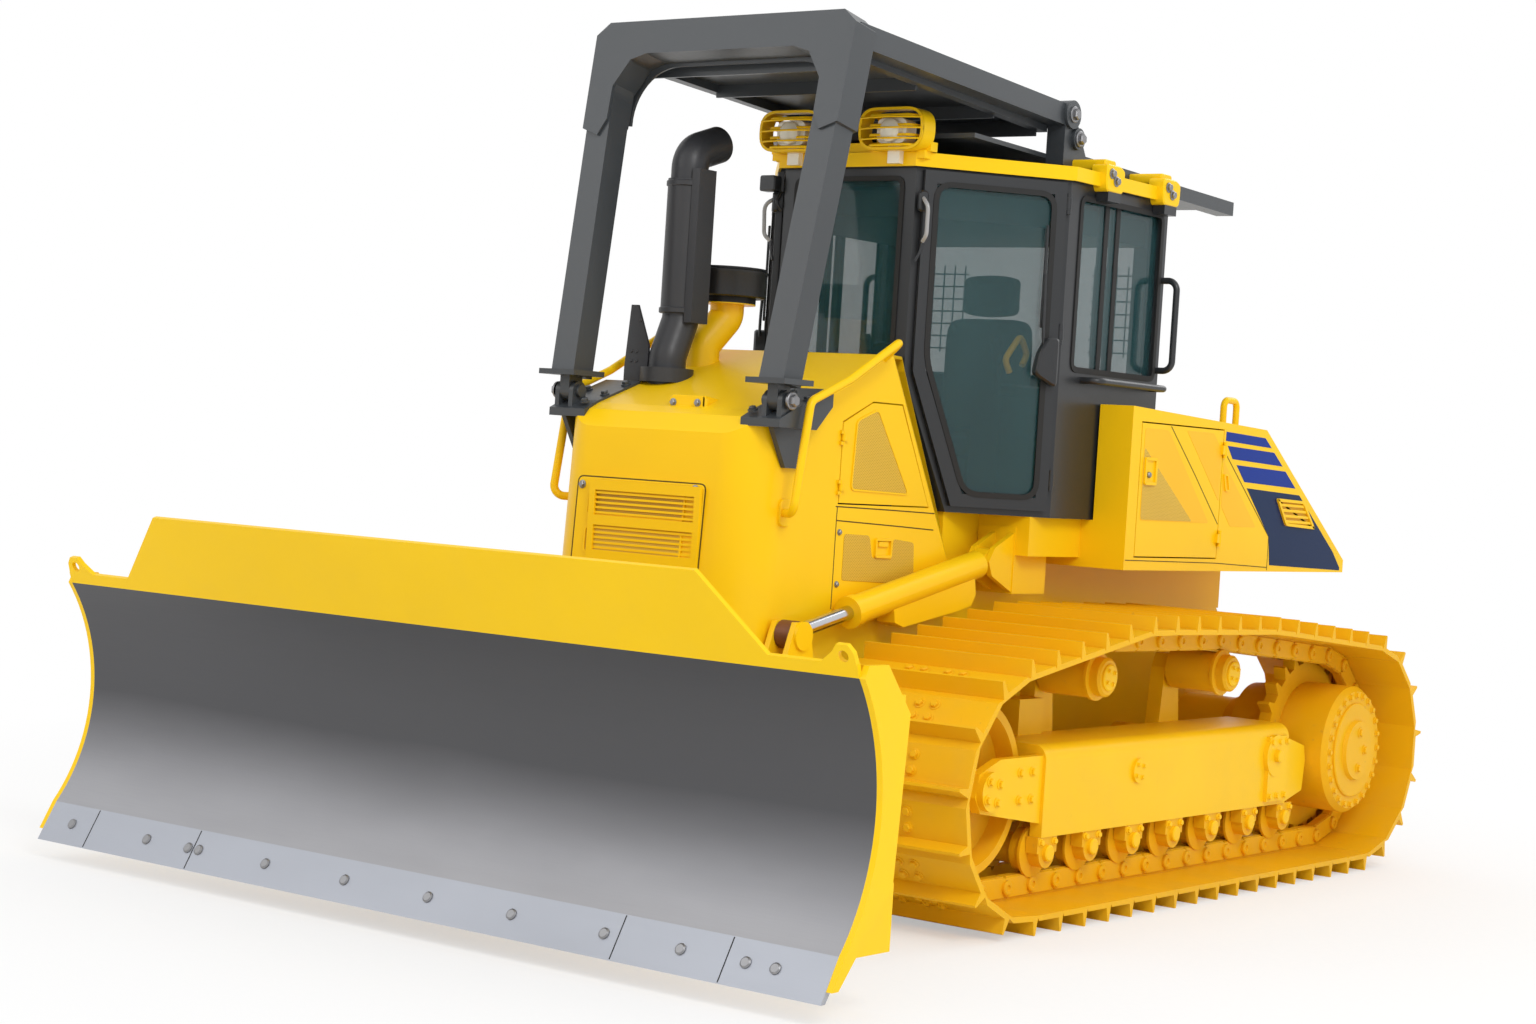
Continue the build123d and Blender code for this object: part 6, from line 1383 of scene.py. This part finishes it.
@dataclass(frozen=True)
class Seat:
    """The operator's padded seat on its pedestal, in place of the CAD seat."""

    cap: float = 0.008
    pressure: float = 4.0
    steps: int = 20
    channel_at: float = 0.45
    channel_width: float = 0.05
    power: float = 0.3

    def build(self) -> None:
        """Make the cushions and the pedestal, then stuff the cushions."""
        cushion = self.pad("seat_cushion", (0, 0.19, 1.89), (0.45, 0.43, 0.11), 0.02)
        back = self.pad("seat_back", (0, 0.4, 2.235), (0.46, 0.09, 0.53), 0.02)
        head = self.pad("seat_headrest", (0, 0.4, 2.6), (0.28, 0.085, 0.18), 0.0)
        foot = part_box("operator_seat")[0][2] + 0.0005
        level = Face((0, 0.2, 0), LEFT, UP)
        sections = ((foot, 0.35, 0.37), (1.7, 0.3, 0.32), (1.84, 0.34, 0.36))
        base = Shape().loft(np.stack([level.at(pane(w, d, radius=0.03), z) for z, w, d in sections]))
        base.join(tube([(0, 0.36, 1.84), (0, 0.42, 1.95), (0, 0.42, 2.46)], 0.018))
        make("seat_pedestal", base, DASH)
        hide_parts("operator_seat")
        for pad in (cushion, back, head):
            self.stuff(pad)

    def stuff(self, pad: bpy.types.Object) -> None:
        """Blow a pad up as sewn cloth: an even inner pressure, no weight, each point's way capped.

        Args:
            pad: the cushion as first shaped.
        """
        scene = bpy.context.scene
        cloth = pad.modifiers.new("cloth", "CLOTH")
        cloth.settings.use_pressure = True
        cloth.settings.uniform_pressure_force = self.pressure
        cloth.settings.effector_weights.gravity = 0.0
        start = np.empty(len(pad.data.vertices) * 3)
        pad.data.vertices.foreach_get("co", start)
        for frame in range(1, self.steps + 1):
            scene.frame_set(frame)
        puffed = pad.evaluated_get(bpy.context.evaluated_depsgraph_get())
        end = np.empty(len(start))
        puffed.data.vertices.foreach_get("co", end)
        way = (end - start).reshape(-1, 3)
        length = np.linalg.norm(way, axis=1, keepdims=True)
        way *= np.minimum(1.0, self.cap / np.maximum(length, 1e-9))
        pad.modifiers.remove(cloth)
        scene.frame_set(1)
        pad.data.vertices.foreach_set("co", (start.reshape(-1, 3) + way).ravel())
        pad.data.update()
        LOG.info("%s stuffed, %.1f mm at most", pad.name, 1000 * min(float(length.max()), self.cap))

    def wave(self, values: Array) -> Array:
        """A sine or cosine flattened towards a square: its sign times its size to a power under one."""
        return np.sign(values) * np.abs(values) ** self.power

    def pad(
        self, name: str, centre: Sequence[float], size: Sequence[float], crown: float
    ) -> bpy.types.Object:
        """A stuffed pad: the box-like ball (w(cos b) w(cos a), w(cos b) w(sin a), w(sin b)), where w is the
        wave above, thinned along two sewn channels by a bell curve.

        Args:
            name: the object's name.
            centre: its middle.
            size: its whole size along each axis.
            crown: a quarter of the channels' deepest share.

        Returns:
            The cushion.
        """
        a = np.linspace(-np.pi, np.pi, 96, endpoint=False)
        b = np.linspace(-np.pi / 2, np.pi / 2, 49)
        aa, bb = np.meshgrid(a, b, indexing="xy")
        x = self.wave(np.cos(bb)) * self.wave(np.cos(aa))
        y = self.wave(np.cos(bb)) * self.wave(np.sin(aa))
        points = np.stack([x, y, self.wave(np.sin(bb))], axis=-1)
        channel = np.exp(-(((np.abs(x) - self.channel_at) / self.channel_width) ** 2))
        points[..., int(np.argmin(size))] *= 1 - channel * crown * 4
        points = points * np.array(size) / 2 + np.array(centre)
        shape = Shape().add(points, quads(*points.shape[:2], False, True).tolist())
        made = make(name, shape, SEAT)
        clean(made.data, 0.0005)
        return made


WEARERS: tuple[tuple[object, str], ...] = (
    (BOARD, "mouldboard"),
    (EDGE, "cutting_edge"),
    (TRACK, "track_left track_right sprockets idlers carrier_rollers track_rollers"),
    (FRAME, "track_frames"),
    (GUARD, "sweep_frame roof_guard hood_brackets"),
    (LENS, "work_lights"),
    (CABIN, "cab_shell cab_roof cab_rails cab_door_left cab_door_right"),
    (PIPE, "exhaust_stack"),
    (CAST, "engine_block"),
    (GLASS, "cab_glass door_glass_left door_glass_right"),
    (DASH, "control_console"),
    (CLEANER, "air_precleaner"),
    (LIFT_ROD, "lift_rod_left lift_rod_right"),
    (CHROME, "angle_rod_left angle_rod_right tilt_rod"),
)


def dress_frame(nodes: dict[str, bpy.types.Object]) -> None:
    """Give every CAD node its finish; a node that isn't named wears the body's yellow."""
    finishes = {name: finish for finish, names in WEARERS for name in names.split()}
    for name, obj in nodes.items():
        material = finish_of(finishes.get(name, BODY))
        obj.data.materials.clear()
        obj.data.materials.append(material)


@dataclass(frozen=True)
class Studio:
    """Camera, floor, lamps and world."""

    lens: float = 62.98
    sensor: float = 36.0
    yaw: float = 0.643119242
    pitch: float = -0.0198851205
    roll: float = 0.0635523729
    stand: tuple[float, float, float] = (6.76186, -10.25855, 1.77772)
    middle: tuple[float, float, float] = (0, -0.5, 1.2)
    floor_half: float = 60.0
    ambient: float = 0.86

    def build(self) -> None:
        """Set the scene up."""
        self.camera()
        self.floor()
        self.lamp("key", (9.0, -6.5, 9.0), 520.0, 4.0)
        self.lamp("fill", (-6.0, -10.0, 7.0), 150.0, 6.0)
        self.lamp("rear", (2.0, 9.0, 8.0), 240.0, 6.0)
        self.world()
        bpy.context.scene.view_settings.view_transform = "Standard"

    def put(self, name: str, data: bpy.types.ID, columns: Sequence[Sequence[float]]) -> bpy.types.Object:
        """An object in the scene whose axes and place are the given columns."""
        made = bpy.data.objects.new(name, data)
        bpy.context.scene.collection.objects.link(made)
        place = np.eye(4)
        place[:3] = np.stack(columns, axis=1)
        made.matrix_world = Matrix(place.tolist())
        return made

    def camera(self) -> None:
        """A camera where the photograph's stood: its axes from yaw, pitch and roll."""
        flat = math.cos(self.pitch)
        ahead = np.array([-math.sin(self.yaw) * flat, math.cos(self.yaw) * flat, math.sin(self.pitch)])
        right = unit(np.cross(ahead, UP))
        up = np.cross(right, ahead)
        across = math.cos(self.roll) * right + math.sin(self.roll) * up
        upward = -math.sin(self.roll) * right + math.cos(self.roll) * up
        data = bpy.data.cameras.new("camera")
        data.lens = self.lens
        data.sensor_width = self.sensor
        data.clip_end = 200.0
        bpy.context.scene.camera = self.put("camera", data, (across, upward, -ahead, self.stand))

    def floor(self) -> None:
        """A wide pale floor that turns to plain white away from the machine."""
        g = Graph("studio_floor")
        x, y = g.axis("X"), g.axis("Y")
        reach = g.maths("SQRT", x * x + y * y)
        tone = g.mix(g.noise(30.0, 2.0), (0.86, 0.86, 0.86), (0.9, 0.9, 0.9))
        matt = g.node("ShaderNodeBsdfPrincipled", None, {"Base Color": tone, "Roughness": 0.9})
        white = g.node("ShaderNodeEmission", None, {"Color": WHITE, "Strength": 1.0})
        share = (reach.ramp(2.6, 6.0) * 0.55 + 0.45) * g.ray("Is Camera Ray")
        g.blend(share, matt, white)
        mesh = bpy.data.meshes.new("floor")
        square = np.append(box_outline(2, 2) * self.floor_half, np.zeros((4, 1)), axis=1)
        mesh.from_pydata(square.tolist(), [], [[0, 1, 2, 3]])
        mesh.materials.append(g.owner)
        floor = self.put("floor", mesh, (*np.eye(3), (0, 0, 0)))

    def lamp(self, name: str, place: Sequence[float], power: float, size: float) -> None:
        """A square soft lamp that looks at the machine's middle."""
        data = bpy.data.lights.new(name, "AREA")
        data.energy = power
        data.size = size
        back = unit(np.array(place) - np.array(self.middle))
        side = unit(np.cross(UP, back))
        self.put(name, data, (side, np.cross(back, side), back, place))

    def world(self) -> None:
        """White where the camera or glass sees it, and a soft grey light on the machine."""
        g = Graph("studio", world=True)
        soft = g.node("ShaderNodeBackground", None, {0: WHITE, 1: self.ambient})
        plain = g.node("ShaderNodeBackground", None, {0: WHITE, 1: 1.0})
        g.blend(g.maths("MAXIMUM", g.ray("Is Camera Ray"), g.ray("Is Transmission Ray")), soft, plain)
        bpy.context.scene.world = g.owner


def main() -> None:
    """Load the frame, dress it, and add the pieces and the studio."""
    logging.basicConfig(level=logging.INFO, format="%(name)s %(message)s")
    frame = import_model()
    dress_frame(frame["nodes"])
    for part in (Studio(), Undercarriage(), Blade(), Hood(), Sweeps(), Lamps(), RearBody(), Cab()):
        part.build()


if __name__ == "__main__":
    main()
